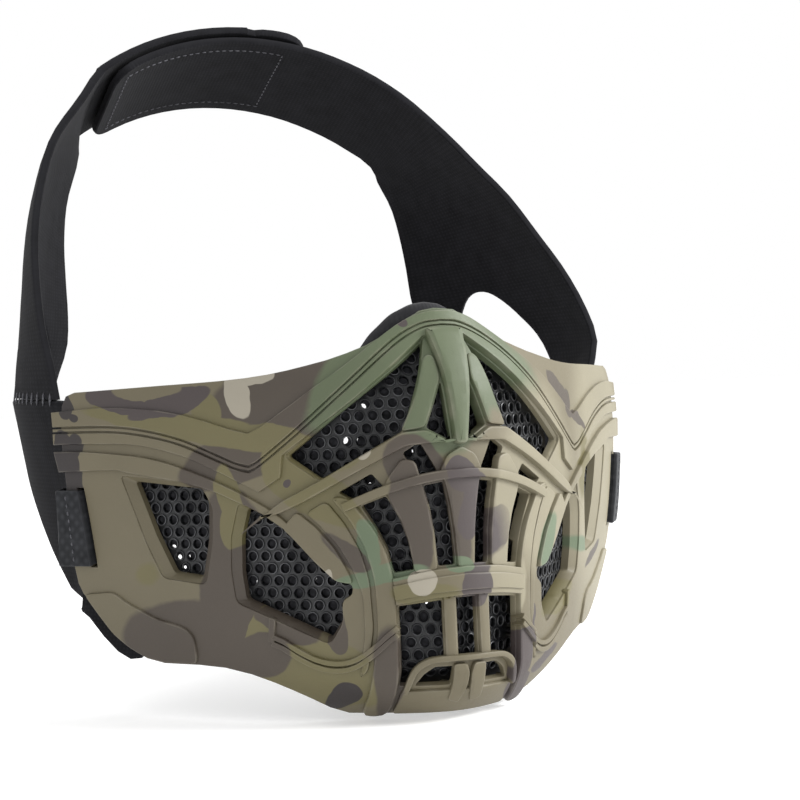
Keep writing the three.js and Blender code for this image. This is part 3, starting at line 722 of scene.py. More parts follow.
WINDOWS = [  # corners, the width of the sloping rim beyond each edge, its depth
    ([(6.5, -8), (15.5, -32.3), (39, -44.5), (48.6, -38)], (0.6, 0.7, 0.8, 0.9), (1.3, 2.9, 2.4)),
    ([(61.8, -51.8), (64, -60), (64, -70), (62.6, -77.6), (50, -82.8), (37.5, -88.2),
      (34, -82.5), (34.2, -77.5), (31, -76), (31, -73), (35.5, -72.5), (41, -67),
      (48, -59.6), (55, -55)],
     (2.6, 2.6, 2.4, 1.4, 1.4, 1.2, 0.6, 0.4, 0.4, 0.4, 0.5, 0.5, 0.6, 1.2), (2.3, 4.5, 3.4)),
    ([(99, -43.9), (76.4, -46.3), (74.2, -50), (74.4, -60), (76.3, -71.4), (85.8, -70.2),
      (92, -59.5)], (1.8, 1.6, 2.6, 2.6, 1.6, 3.0, 3.0), (2.3, 4.5, 3.4)),
]
LOWER_MIDDLE = [(-2.9, -77.8), (2.9, -77.8), (2.9, -93.8), (-2.9, -93.8)]
TAB_SLOT = [(116.2, -45.4), (118.6, -45.4), (113.6, -68.2), (111.2, -68.2)]
WINDOW_CORNER, RIM_CORNER, GAP_CORNER = 1.1, 1.9, 0.6
RIM_TOP, RIM_OVERLAP = -0.25, 0.3  # where a rim starts, and how far it runs under the base
GRILLE_WALL = 1.7  # the grille is thinner than the rest, so the ribs stay slim
GRILLE_SIDE, GRILLE_TOP, GRILLE_FOOT = 21, -34, -102


def rim(target, inner, widths, depths):
    """A closed sloping frame between a window's opening and its wider outline."""
    lip, foot, seat = depths
    bm = bmesh.new()
    outer = rounded(widened(inner, widths), RIM_CORNER)
    inner = rounded(inner, WINDOW_CORNER)
    loops = []
    for points, z in ((outer, RIM_TOP), (inner, -lip), (inner, -foot), (outer, -seat)):
        verts = [bm.verts.new((*q, z)) for q in points]
        loops.append([bm.edges.new(pair) for pair in zip(verts, verts[1:] + verts[:1])])
    for a, b in zip(loops, loops[1:] + loops[:1]):
        bmesh.ops.bridge_loops(bm, edges=a + b)
    cut_cells(bm, GRID_U, GRID_V)
    bmesh.ops.recalc_face_normals(bm, faces=bm.faces)
    join(target, bm)


half = TOP_EDGE + REAR_EDGE
outline = [*half[::-1], *mirror(half[1:])]
openings = [LOWER_MIDDLE, TAB_SLOT, mirror(TAB_SLOT)]
shell = new_plates()
for corners, widths, depths in WINDOWS:
    wide = rounded(widened(corners, [max(w - RIM_OVERLAP, 0.05) for w in widths]), RIM_CORNER)
    openings += [wide, mirror(wide)]
    for side in (corners, mirror(corners)):
        rim(shell, side, widths, depths)
for corners in GRILLE_GAPS:
    gap = rounded(corners, GAP_CORNER, 2)
    openings += [gap, mirror(gap)]
plate(shell, [outline, *openings], 0, -WALL, edge=0.35)
for v in shell.verts:
    in_grille = abs(v.co.x) < GRILLE_SIDE and GRILLE_FOOT < v.co.y < GRILLE_TOP
    if in_grille and v.co.z < -3:
        v.co.z = -GRILLE_WALL
print("shell base:", len(shell.faces), "faces,", len(openings), "openings")

# %% Raised bands from the nose to the ears
BROW_TOP = [
    (126, -23.8), (120, -23.5), (110, -23), (100, -23.2), (90, -24), (80, -25.7), (72, -27.8),
    (65, -30), (60, -31.2),
]
BROW_NOSE = [
    (59.4, -31.2), (55, -29.3), (50, -26.3), (45, -23.3), (40, -20.2), (30, -14.6), (20, -8.6),
    (10, -2.6), (4, -0.4), (0, -0.1),
]
CREASE = [
    (126, -28), (110, -28), (100, -28.5), (90, -30), (80, -32.5), (70, -36.5), (64, -39),
    (60, -40),
]
CREASE_NOSE = [
    (59.4, -40), (56, -38.2), (45, -30.3), (30, -18.8), (15, -8.2), (6, -3.7), (0, -2.9),
]
GROOVE = [
    (126, -33), (116, -33), (100, -33.3), (90, -34.7), (80, -37.2), (70, -41.3), (62, -45),
    (57, -47.4),
]
DIAMOND_TOP = [(50.4, -43.6), (49.6, -37.6), (27, -22.4), (6, -7.4), (4.2, -7), (0, -6.8)]
LOWER_TOP = [
    (126, -35), (117, -35), (100, -36.3), (90, -37.8), (80, -40.6), (70, -44.3), (60, -48.8),
    (52, -53.4), (47.5, -57),
]
LOWER_FOOT = [
    (124.4, -40.8), (105, -40.5), (100, -41.2), (90, -42.8), (82, -44), (72, -46.6), (64, -49.8),
    (56, -53.4), (48.6, -58.4),
]


SUNK = -1  # every raised plate starts this deep in the base


def lowered(line, drop):
    """The line moved down, and further down where it slopes, to keep an even gap."""
    made = []
    for i, (u, v) in enumerate(line):
        a, b = line[max(i - 1, 0)], line[min(i + 1, len(line) - 1)]
        slope = (a[1] - b[1]) / (a[0] - b[0])
        made.append((u, v - drop * math.hypot(1, slope)))
    return made


def across_nose(upper, lower):
    """An outline that runs from one rear edge over the nose to the other."""
    return [*upper, *mirror(upper[-2::-1]), *mirror(lower), *lower[-2::-1]]


brow = across_nose(
    smooth_line(BROW_TOP) + smooth_line(BROW_NOSE), smooth_line(CREASE) + smooth_line(CREASE_NOSE),
)
plate(shell, [brow], 1.0, SUNK, edge=0.4)
piping = across_nose(
    smooth_line(lowered(CREASE, 0.55)) + smooth_line(lowered(CREASE_NOSE, 0.45)),
    smooth_line(lowered(CREASE, 1.35)) + smooth_line(lowered(CREASE_NOSE, 1.2)),
)
plate(shell, [piping], 0.85, SUNK, edge=0.25)
frame_band = across_nose(
    smooth_line(lowered(CREASE, 1.9)) + smooth_line(lowered(CREASE_NOSE, 1.7)),
    smooth_line(GROOVE) + DIAMOND_TOP,
)
plate(shell, [frame_band], 1.1, SUNK, edge=0.4)
lower_band = [*smooth_line(LOWER_TOP), *smooth_line(LOWER_FOOT)[::-1]]
for side in (lower_band, mirror(lower_band)):
    plate(shell, [side], 1.3, SUNK, edge=0.5)
print("bands added:", len(shell.faces), "faces")

# %% Grille over the mouth
CENTRE_BAR = [(-5.4, -5.5), (5.4, -5.5), (3.6, -19), (1.8, -36.5), (-1.8, -36.5), (-3.6, -19)]
PRONG = [
    (4.9, -12.8), (6.6, -12.4), (8.2, -13.8), (12.4, -25), (16, -32.4), (9.4, -31.6), (5.6, -21.6),
    (4.3, -18.6),
]
ARM = [
    (9, -32.2), (15.7, -32.6), (38.4, -44.5), (50, -50), (57, -54.6), (51, -53.4), (43.6, -50.4),
    (27, -42.2), (14.4, -36.2), (3, -35.6),
]
OUTER_RIB = [
    (12.4, -40.4), (16.2, -39.6), (21, -46), (20.2, -49.8), (17, -56), (15.1, -62), (13.8, -70.6),
    (7.7, -70), (8.3, -60), (9.4, -53), (10.8, -47),
]
CENTRE_TIE = [(0, -37), (4, -39.2), (6, -43.4), (4.8, -47), (3.7, -53), (2.9, -60), (2.3, -69.6)]
BAND_TOP = [(19.6, -71.7), (10, -70), (0, -69.2)]
BAND_FOOT = [(19, -78.9), (10, -77.6), (0, -77)]
LOWER_BAR = [(3.1, -76.5), (6.7, -76.5), (6.6, -95), (3.2, -95)]
CHIN_ARCH = [
    (16.4, -102.6), (14.8, -97.2), (11.6, -94.7), (7.5, -94), (0, -93.9), (-7.5, -94),
    (-11.6, -94.7), (-14.8, -97.2), (-16.4, -102.6),
]
CHIN_TAB = [(4.5, -95.4), (4.7, -105), (1.6, -106), (0.5, -102), (0.2, -98), (1, -95.4)]
PILLAR = [
    (30.6, -49.6), (28, -53.4), (24.2, -58), (21.1, -64.4), (19.5, -71), (18.9, -79),
    (18.4, -101.5), (18.2, -109.6), (25.4, -109.6), (25.6, -98), (24, -85), (24.6, -72),
    (26.8, -63.4), (30.8, -55.6), (36.4, -49),
]
FLANK = [
    (37.4, -50.2), (32.4, -56.4), (28.2, -64), (26, -72), (25.2, -85), (26.8, -97), (29, -99),
    (27.6, -86), (28, -76), (30.6, -69), (34.4, -62.4), (40, -56.4), (43.6, -53.4),
]
HOOK = [
    (46, -52.8), (40.4, -57.2), (35.2, -63.2), (31.6, -69.6), (30.4, -73), (35.2, -72.2),
    (41, -66.8), (47.8, -59.6), (50.4, -57.4),
]
CHIN_PLATE = [(-17.4, -102.4), (17.4, -102.4), (17.2, -109.4), (-17.2, -109.4)]
STEP_PANEL = [
    (115.4, -76), (105, -75.2), (100, -78.2), (90, -82.6), (80, -85.2), (77, -88), (75.4, -95.6),
    (86, -95.5), (92, -94.3), (98, -91.5), (104, -87.5), (110, -81.6),
]
TRIPLE = [
    (53.4, -88.2), (50, -89.6), (45, -92.6), (40, -94.8), (35, -95.6), (30, -94.6), (25, -91.2),
    (21.6, -88.2), (18.6, -85.8),
]
PILLAR_TOP = 1.7


def over_pillar(u, v):
    """Lifts a strip over the raised pillar beside the mouth."""
    share = min(max((28 - abs(u)) / 3, 0), 1)
    return PILLAR_TOP * share * share * (3 - 2 * share)


def both_sides(points, *args, **kwargs):
    plate(shell, [points], *args, **kwargs)
    plate(shell, [mirror(points)], *args, **kwargs)


plate(shell, [rounded(CENTRE_BAR, 1.5)], 2.7, SUNK, edge=1.5, rounds=2)
both_sides(rounded(PRONG, 1.4), 1.3, SUNK, edge=0.6)
both_sides(rounded(ARM, 1.2), 2.0, SUNK, edge=0.6)
both_sides(rounded(OUTER_RIB, 1.4), 1.5, SUNK, edge=0.6)
tie = [*CENTRE_TIE, *mirror(CENTRE_TIE[::-1])][1:]
plate(shell, [rounded(tie, 1)], 1.6, SUNK, edge=0.6)
both_sides(rounded(PILLAR, 3), PILLAR_TOP, SUNK, edge=0.8)
both_sides(rounded(FLANK, 2), 0.8, SUNK, edge=0.6)
both_sides(rounded(HOOK, 1.5), 1.3, SUNK, edge=0.6)
ARCH = [(32.4, -52.2), (30, -51.2), (20, -47.6), (10, -45.1)]
arch = [*ARCH, (0, -44.2), *mirror(ARCH[::-1])]
plate(shell, [ribbon(arch, 1.25)], 2.9, SUNK, edge=0.5)
BAND_STEPS = ((0, 0, 2.2), (1.9, 1.4, 2.9))  # drop at the top, rise at the foot, height
for up, down, top in BAND_STEPS:
    upper = smooth_line([(u, v - up) for u, v in BAND_TOP])
    lower = smooth_line([(u, v + down) for u, v in BAND_FOOT])
    band = [*upper, *mirror(upper[-2::-1]), *mirror(lower), *lower[-2::-1]]
    plate(shell, [band], top, SUNK, edge=0.4)
both_sides(rounded(LOWER_BAR, 0.4), 1.2, SUNK, edge=0.8)
plate(shell, [ribbon(CHIN_ARCH, 0.8)], 2.1, SUNK, edge=0.45)
both_sides(rounded(CHIN_TAB, 0.8), 1.5, SUNK, edge=0.5)
plate(shell, [rounded(CHIN_PLATE, 1)], 0.9, SUNK, edge=0.5)
both_sides(rounded(STEP_PANEL, 2), 0.8, SUNK, edge=0.5)
STRIP_HALF, STRIP_SPREAD = 0.72, 0.95
for drop in (-STRIP_SPREAD, STRIP_SPREAD):
    strip = ribbon([(u, v + drop) for u, v in TRIPLE], STRIP_HALF)
    both_sides(strip, 1.0, SUNK, edge=0.35, lift=over_pillar)
TICK = [(52.6, -82.4), (54.4, -81.8), (54.6, -88.6), (52.8, -89)]
both_sides(rounded(TICK, 0.5), 0.9, SUNK, edge=0.3)
outer = finish_piece("moulded_shell", shell, wrap_face, camo)
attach(outer, "mask")
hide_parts("outer_shell")

# %% [markdown]
# ## Perforated mesh liners
# Behind the windows sits a thin black sheet punched with round holes in a honeycomb, each hole
# with a raised rim that catches the light; its crest is painted a lighter grey in patches, partly
# worn metal and partly a painted highlight. The holes are left open when the sheet is filled,
# and one small ring is copied to every hole.

# %% Mesh material
black_mesh, tree, shader = new_material("black_mesh", srgb(24, 25, 27), 0.34, 0.25)
place = add_node(tree, "TexCoord")
edge = add_node(tree, "Attribute", attribute_name="edge")
wear_and_highlight = use_group(
    tree, worn_and_highlit_edges, {"Edge": edge.outputs["Fac"], "Position": place.outputs["Object"]},
)
# Rim crests a lighter grey: partly worn metal, partly a painted highlight.
bare_rim_and_highlight = add_node(
    tree, "Mix", {0: wear_and_highlight.outputs[0], 6: srgb(24, 25, 27), 7: srgb(104, 105, 108)},
    data_type="RGBA",
)
tree.links.new(bare_rim_and_highlight.outputs[2], shader.inputs["Base Color"])
fine_grain(tree, shader, 900.0, 0.24, 0.5, tooth=0.15)

# %% Hole rings and the sheets
MESH_FRONT, MESH_THICKNESS = -5.0, 1.0
HOLE_PITCH, HOLE_RADIUS, HOLE_SIDES = 4.0, 1.32, 10
SCREW_CLEARANCE, BORDER = 3.4, 2.3  # from a hole's middle to a screw, and to the border
RING = [(1.9, -0.1), (1.72, 0.32), (1.5, 0.4), (1.33, 0.12), (1.31, -0.5)]  # radius, height


def hole_ring():
    """One raised rim, turned from its section."""
    bm = new_plates()
    edge_layer = bm.verts.layers.float["edge"]
    section = [bm.verts.new((r, 0, z)) for r, z in RING]
    section[2][edge_layer] = 1.0
    edges = [bm.edges.new(pair) for pair in zip(section, section[1:] + section[:1])]
    bmesh.ops.spin(
        bm, geom=section + edges, cent=(0, 0, 0), axis=(0, 0, 1), dvec=(0, 0, 0),
        angle=math.tau, steps=HOLE_SIDES, use_merge=True,
    )
    bmesh.ops.remove_doubles(bm, verts=bm.verts, dist=1e-3)
    bmesh.ops.recalc_face_normals(bm, faces=bm.faces)
    mesh = bpy.data.meshes.new("ring")
    bm.to_mesh(mesh)
    bm.free()
    return mesh


def clearance(point, loop):
    """Distance from a point to the nearest edge of the loop."""
    p, best = Vector(point), 1e9
    for a, b in zip(loop, loop[1:] + loop[:1]):
        a, d = Vector(a), Vector(b) - Vector(a)
        t = min(max((p - a).dot(d) / max(d.length_squared, 1e-9), 0), 1)
        best = min(best, (a + d * t - p).length)
    return best


def honeycomb(loop, screws):
    """Hole centres inside the loop, clear of its border and of the screws."""
    us = [q[0] for q in loop]
    vs = [q[1] for q in loop]
    row_height = HOLE_PITCH * math.sin(math.radians(60))
    made = []
    for row in range(math.floor(min(vs) / row_height), math.ceil(max(vs) / row_height)):
        for column in range(math.floor(min(us) / HOLE_PITCH), math.ceil(max(us) / HOLE_PITCH) + 1):
            here = ((column + row % 2 / 2) * HOLE_PITCH, row * row_height)
            clear = all(math.dist(here, s) > SCREW_CLEARANCE for s in screws)
            if clear and inside(here, loop) and clearance(here, loop) > BORDER:
                made.append(here)
    return made


FRONT_MESH_TOP = [
    (0, -3.6), (7, -5), (14, -9.4), (21, -14), (26.5, -18), (31, -21.4), (38, -27), (44, -31.6),
    (50.5, -36.5),
]
FRONT_MESH_SIDE = [
    (50.5, -47.6), (44, -48), (38, -51), (31, -61), (26.5, -74), (25, -104), (21, -106), (0, -106),
]
CHEEK_MESH = [
    (29, -71.5), (34, -67.5), (40, -61.5), (46, -57), (52, -53), (60, -48), (67, -46.5), (75, -43),
    (86, -41), (102.5, -40), (102.5, -46), (98.6, -63), (92, -66), (86, -74.2), (75, -77),
    (67, -79), (60, -83), (52, -87.5), (46, -92.6), (40, -92.6), (34, -90), (29, -86),
]
FRONT_SCREWS = [(0, -40.2), (46.2, -44.6), (-46.2, -44.6), (22.2, -90), (-22.2, -90)]
CHEEK_SCREWS = [(69.2, -50), (69.8, -73), (96.2, -59), (46, -89)]
ring = hole_ring()


def perforated(name, loop, screws, node):
    holes = honeycomb(loop, screws)
    circles = [circle(u, v, HOLE_RADIUS, HOLE_SIDES) for u, v in holes]
    sheet = new_plates()
    plate(sheet, [loop, *circles], MESH_FRONT, MESH_FRONT - MESH_THICKNESS, edge=0)
    at = Vector((0, 0, 0))
    for u, v in holes:
        to = Vector((u, v, MESH_FRONT))
        ring.transform(Matrix.Translation(to - at))
        at = to
        sheet.from_mesh(ring)
    ring.transform(Matrix.Translation(-at))
    made = finish_piece(name, sheet, wrap_face, black_mesh)
    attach(made, "mask")
    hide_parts(node)
    print(name, len(holes), "holes")


half = FRONT_MESH_TOP + FRONT_MESH_SIDE
FRONT_LOOP = [*half[::-1], *mirror(half[1:-1])]
perforated("front_liner", FRONT_LOOP, FRONT_SCREWS, "front_mesh")
perforated("left_cheek_liner", CHEEK_MESH, CHEEK_SCREWS, "left_cheek_mesh")
perforated("right_cheek_liner", mirror(CHEEK_MESH), mirror(CHEEK_SCREWS), "right_cheek_mesh")

# %% [markdown]
# ## Screws
# The screws are round-headed and hidden behind the mesh, so the CAD's own solids stay. They
# only need a blackened steel finish with turned, slightly worn heads.

# %% Screw finish
black_steel, tree, shader = new_material("black_steel", srgb(46, 47, 50), 0.4, 0.85)
fine = fine_grain(tree, shader, 1400.0, 0.28, 0.5)
worn = add_node(tree, "Mix", {0: fine, 6: srgb(34, 35, 37), 7: srgb(70, 70, 73)}, data_type="RGBA")
tree.links.new(worn.outputs[2], shader.inputs["Base Color"])
screws = [o for n, o in NODES.items() if "screw" in n]
for o in screws:
    o.data.materials.clear()
    o.data.materials.append(black_steel)
print(len(screws), "screws")

# %% [markdown]
# ## Neoprene, webbing and foam
# The headband is 2.5 mm neoprene with a knitted face: almost black, matt, with a soft sheen at
# grazing angles. The tabs are woven webbing. Both patterns follow the flat pattern's own UVs,
# so the ribs turn with the strap.

# %% Fabric materials
RIB_SCALE = 20.0  # a wave texture's scale for ribs about 1.6 mm apart
knit, given, result = new_group(
    "knit",
    [("Pattern", "Vector", None), ("Pitch", "Float", 1.0), ("Slant", "Float", 0.0)],
    [("Height", "Float")],
)
finer = add_node(knit, "Math", {0: RIB_SCALE, 1: given["Pitch"]}, operation="DIVIDE")
turned = add_node(
    knit, "VectorRotate", {"Vector": given["Pattern"], "Angle": given["Slant"]},
    rotation_type="Z_AXIS",
)
heights = []
for direction in "XY":
    wave = add_node(
        knit, "TexWave", {"Vector": turned.outputs[0], "Scale": finer.outputs[0]},
        bands_direction=direction,
    )
    heights.append(wave.outputs["Fac"])
crossed = add_node(knit, "Math", {0: heights[0], 1: heights[1]}, operation="MULTIPLY")
knit.links.new(crossed.outputs[0], result.inputs["Height"])


def cloth(name, dark, light, pitch, slant, roughness, sheen, depth):
    """A matt cloth with a knit or weave, lint, and cut edges a little lighter than its face."""
    material, tree, shader = new_material(name, dark, roughness)
    pattern = add_node(tree, "UVMap", uv_map="pattern")
    place = add_node(tree, "TexCoord")
    knitted = use_group(
        tree, knit, {"Pattern": pattern.outputs[0], "Pitch": pitch, "Slant": slant},
    )
    lint = use_group(tree, grain, {"Position": place.outputs["Object"], "Size": 160.0})
    patchy = add_node(
        tree, "MapRange",
        {"Value": lint.outputs[0], "From Min": 0.3, "From Max": 0.8, "To Max": 0.6},
    )
    threads = add_node(
        tree, "Math", {0: knitted.outputs[0], 1: 0.5, 2: patchy.outputs[0]},
        operation="MULTIPLY_ADD",
    )
    face = add_node(tree, "Mix", {0: threads.outputs[0], 6: dark, 7: light}, data_type="RGBA")
    edge = add_node(tree, "Attribute", attribute_name="edge")
    rim = add_node(tree, "Math", {0: edge.outputs["Fac"], 1: 0.5}, operation="MULTIPLY")
    cut = add_node(
        tree, "Mix", {0: rim.outputs[0], 6: face.outputs[2], 7: light}, data_type="RGBA",
    )
    tree.links.new(cut.outputs[2], shader.inputs["Base Color"])
    rough = add_node(
        tree, "MapRange",
        {"Value": lint.outputs[0], "To Min": roughness - 0.08, "To Max": min(roughness + 0.08, 1)},
    )
    tree.links.new(rough.outputs[0], shader.inputs["Roughness"])
    bumps = add_node(
        tree, "Bump", {"Height": threads.outputs[0], "Strength": 0.35, "Distance": depth * MM},
    )
    tree.links.new(bumps.outputs[0], shader.inputs["Normal"])
    shader.inputs["Sheen Weight"].default_value = sheen
    shader.inputs["Sheen Roughness"].default_value = 0.5
    shader.inputs["Specular IOR Level"].default_value = 0.08
    return material


neoprene = cloth("neoprene", srgb(18, 18, 20), srgb(33, 33, 36), 0.8, 0.0, 0.95, 0.02, 0.2)
webbing = cloth(
    "webbing", srgb(29, 30, 32), srgb(56, 57, 60), 1.6, math.radians(45), 0.66, 0.05, 0.35,
)
foam = cloth("foam_cover", srgb(34, 34, 36), srgb(48, 48, 50), 1.1, 0.0, 0.95, 0.1, 0.25)
hook_tape = cloth("hook_tape", srgb(20, 20, 22), srgb(60, 60, 64), 1.3, 0.3, 0.8, 0.1, 0.5)
thread = cloth("thread", srgb(62, 62, 66), srgb(98, 98, 103), 0.5, 0.5, 0.6, 0.1, 0.1)
print("cloths:", [m.name for m in (neoprene, webbing, foam, hook_tape, thread)])

# %% [markdown]
# ## Painted shade behind the mesh
# A thin black sheet lies against the back of each mesh as painted shade, so that the holes look
# black. It is only 0.2 mm thick, with a few small gaps that let light through.

# %% Painted shade sheet
SHADE_SHEET_FRONT, SHADE_SHEET_THICKNESS = -6.04, 0.2
FRONT_GAPS = [
    (-27, -25), (-33, -34.2), (-29.7, -34), (-38.8, -43), (-26, -46.8), (-12.6, -38), (-11, -79.2),
]
CHEEK_GAPS = [(-60.6, -73.4), (-44.2, -72.2), (-62, -81)]
EAR_GAPS = [(-88.6, -63.6), (-86.6, -66.4), (-84.8, -69.4), (-83.6, -66.2)]
GAP_RADII, GAP_SIDES = (1.0, 1.1, 0.7, 0.8, 0.7, 0.5, 0.6), 8


# A black sheet of painted shade behind a mesh, which makes its holes look dark.
def shade_sheet(name, loop, gaps):
    circles = [circle(*gap, radius, GAP_SIDES) for gap, radius in zip(gaps, GAP_RADII)]
    bm = new_plates()
    plate(bm, [loop, *circles], SHADE_SHEET_FRONT, SHADE_SHEET_FRONT - SHADE_SHEET_THICKNESS, edge=0)
    made = finish_piece(name, bm, wrap_face, hook_tape)
    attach(made, "mask")


shade_sheet("front_shade_sheet", FRONT_LOOP, FRONT_GAPS)
shade_sheet("left_cheek_shade_sheet", CHEEK_MESH, [])
shade_sheet("right_cheek_shade_sheet", mirror(CHEEK_MESH), CHEEK_GAPS + EAR_GAPS)

# %% [markdown]
# ## The headband
# One strap rises from each side wing, leans back, and bends over the crown. The left strap is
# the inner layer there, and the right strap lies on top of it, held by a hook patch. Each strap
# is a flat plate again: s runs along it and a across it, and the wrap bends the plate over the
# two smooth edges that the CAD uses. Each strap is one piece of cloth right down to its two
# legs round the ear, so it bends across the swing at the ears instead of breaking there.

# %% Where the strap runs
STRAP_THICKNESS, CROWN_WIDTH = 2.5, 40.0
CROWN_SLOPE = math.atan2(17, 36.5)
CROWN_ACROSS = np.array([0, math.cos(CROWN_SLOPE), -math.sin(CROWN_SLOPE)])
CROWN_OUT = np.array([0, math.sin(CROWN_SLOPE), math.cos(CROWN_SLOPE)])
INNER_LAYER, OUTER_LAYER = 78.0, 81.9
CROWN_CENTRE = np.array([-8, 148.2, 85.4]) - CROWN_OUT * INNER_LAYER
NOMINAL_WIDTH = 50.0  # the flat strap's width; the wrap draws it in or out
LEFT_ROWS = [  # front edge, rear edge, outward bulge
    ((59, 114, 60), (53, 160, 49), 1.5),
    ((67, 109, 49.5), (57, 159, 40), 3),
    ((75, 104, 39), (59, 158, 30), 4.5),
    ((82, 98, 26), (59.5, 155, 18), 6),
    ((88, 91, 13), (59.5, 152, 6), 8),
    ((92, 85, 0), (62, 151, -4), 9.5),
    ((92.5, 80, -10), (66, 151, -12), 10.5),
    ((88.5, 76.5, -20), (71.6, 152, -20), 11.5),
]
RIGHT_ROWS = [
    ((-65, 119, 73), (-57, 161, 58), 1.5),
    ((-76, 113, 60), (-62, 159, 43), 3),
    ((-83, 105, 45), (-64, 157, 30), 4.5),
    ((-88, 96, 28), (-64.5, 155, 17), 6),
    ((-90, 88, 12), (-65, 152, 5), 8),
    ((-90.5, 82, 0), (-66, 151, -4), 9.5),
    ((-89.5, 78.5, -10), (-69, 151, -12), 10.5),
    ((-88.5, 76.5, -20), (-71.6, 152, -20), 11.5),
]


def crown_point(degrees, over, radius):
    turn = math.radians(degrees)
    out = CROWN_OUT * math.cos(turn) + np.array([1, 0, 0]) * math.sin(turn)
    return CROWN_CENTRE + out * radius + CROWN_ACROSS * over


def smooth_at(points, t):
    """Centripetal Catmull-Rom through the points; t counts them, and may be an array."""
    p = np.array(points, float)
    p = np.vstack([2 * p[0] - p[1], p, 2 * p[-1] - p[-2]])
    i = np.clip(np.floor(t).astype(int), 0, len(points) - 2)
    s = (t - i)[..., None]
    a, b, c, d = p[i], p[i + 1], p[i + 2], p[i + 3]

    def gap(m, n):
        return np.sqrt(np.linalg.norm(n - m, axis=-1, keepdims=True))

    before, here, after = gap(a, b), gap(b, c), gap(c, d)
    start = ((b - a) / before - (c - a) / (before + here) + (c - b) / here) * here
    end = ((c - b) / here - (d - b) / (here + after) + (d - c) / after) * here
    return (
        b + start * s + (-3 * b + 3 * c - 2 * start - end) * s**2
        + (2 * b - 2 * c + start + end) * s**3
    )


class Strap:
    """A strap's face: s millimetres along it, a millimetres across it from its middle."""

    def __init__(self, side, angles, rows, layer):
        over = CROWN_WIDTH / 2
        self.side = side
        self.front = [crown_point(d, -over, layer) for d in angles] + [
            np.array(r[0], float) for r in rows
        ]
        self.rear = [crown_point(d, over, layer) for d in angles] + [
            np.array(r[1], float) for r in rows
        ]
        self.bulge = [0.0] * (len(angles) - 1) + [0.5 if rows else 0.0] + [r[2] for r in rows]
        ticks = np.linspace(0, len(self.front) - 1, 400)
        middle = (smooth_at(self.front, ticks) + smooth_at(self.rear, ticks)) / 2
        self.ticks = ticks
        self.along = np.concatenate(
            [[0], np.cumsum(np.linalg.norm(np.diff(middle, axis=0), axis=1))],
        )
        self.length = float(self.along[-1])

    def point(self, s, a):
        t = np.interp(s, self.along, self.ticks)
        share = a / NOMINAL_WIDTH + 0.5
        front, rear = smooth_at(self.front, t), smooth_at(self.rear, t)
        ahead, behind = np.clip(t + 0.05, 0, self.ticks[-1]), np.clip(t - 0.05, 0, self.ticks[-1])
        along = smooth_at(self.front, ahead) + smooth_at(self.rear, ahead)
        along = along - smooth_at(self.front, behind) - smooth_at(self.rear, behind)
        out = np.cross(along, rear - front) * self.side
        out /= np.linalg.norm(out, axis=-1, keepdims=True)
        swell = 4 * share * (1 - share) * np.interp(t, range(len(self.bulge)), self.bulge)
        return front + (rear - front) * share[..., None] + out * swell[..., None]

    def wrap(self, flat):
        """The face is at w 0, and the thickness goes towards the head."""
        s = np.clip(flat[:, 0], 0.6, self.length - 0.6)
        a, w = flat[:, 1], flat[:, 2]
        along = self.point(s + 0.5, a) - self.point(s - 0.5, a)
        over = self.point(s, a + 0.5) - self.point(s, a - 0.5)
        out = np.cross(along, over) * self.side
        out /= np.linalg.norm(out, axis=-1, keepdims=True)
        at = self.point(s, a) + along * (flat[:, 0] - s)[:, None]
        return (at + out * w[:, None]) * MM

    def find(self, y, z):
        """The place (s, a) on the strap that is seen at y, z from the side, low down on it."""
        best = (self.length - 45, 0.0)
        for reach_s, reach_a in ((45, 25), (3, 2), (0.3, 0.3)):
            s, a = np.meshgrid(
                np.linspace(best[0] - reach_s, min(best[0] + reach_s, self.length), 61),
                np.linspace(best[1] - reach_a, best[1] + reach_a, 61),
            )
            at = self.point(s, a)
            miss = (at[..., 1] - y) ** 2 + (at[..., 2] - z) ** 2
            k = np.unravel_index(miss.argmin(), miss.shape)
            best = (float(s[k]), float(a[k]))
        return best


left_strap = Strap(1, [-34, -26, -18, -10, -2, 6, 14, 22, 32.2, 39.1, 46], LEFT_ROWS, INNER_LAYER)
right_strap = Strap(-1, [-25.2, -30.6, -36], RIGHT_ROWS, OUTER_LAYER)
tongue_strap = Strap(1, [-44, -36, -28, -20, -12, -4, 4, 12, 18.6], [], OUTER_LAYER)
print(
    "straps:", round(left_strap.length), round(right_strap.length), round(tongue_strap.length),
    "mm",
)

# %% Cut and wrap the straps
EAR_OPENING = [
    (110.4, -20), (110, -16), (117, -4), (125, 5), (131, 8.5), (137, 6.5), (142, -3), (142.7, -20),
]
CUT_EDGE = 0.7
FOOT_OVERLAP = 0.3  # the legs reach down to the wing's top edge, where they are sewn
EDGE = NOMINAL_WIDTH / 2
STRAP_GRID = ([*np.arange(0, 420, 5.0)], [*np.arange(-25, 26, 6.25)])


def strap_outline(strap, start, corner):
    """The strap's flat outline, with a rounded end and the opening round the ear."""
    s1 = strap.length
    opening = [strap.find(y, z) for y, z in EAR_OPENING]
    s1 += FOOT_OVERLAP
    opening[0] = (s1, opening[0][1])
    opening[-1] = (s1, opening[-1][1])
    smooth = smooth_line(opening[1:-1], 4)
    end = rounded(
        [(start + corner * 2, -EDGE), (start, -EDGE), (start, EDGE), (start + corner * 2, EDGE)],
        corner, 6,
    )
    end = end[len(end) // 4:len(end) * 3 // 4] if corner else [(start, -EDGE), (start, EDGE)]
    return [*end[::-1], (s1, -EDGE), opening[0], *smooth, opening[-1], (s1, EDGE)]


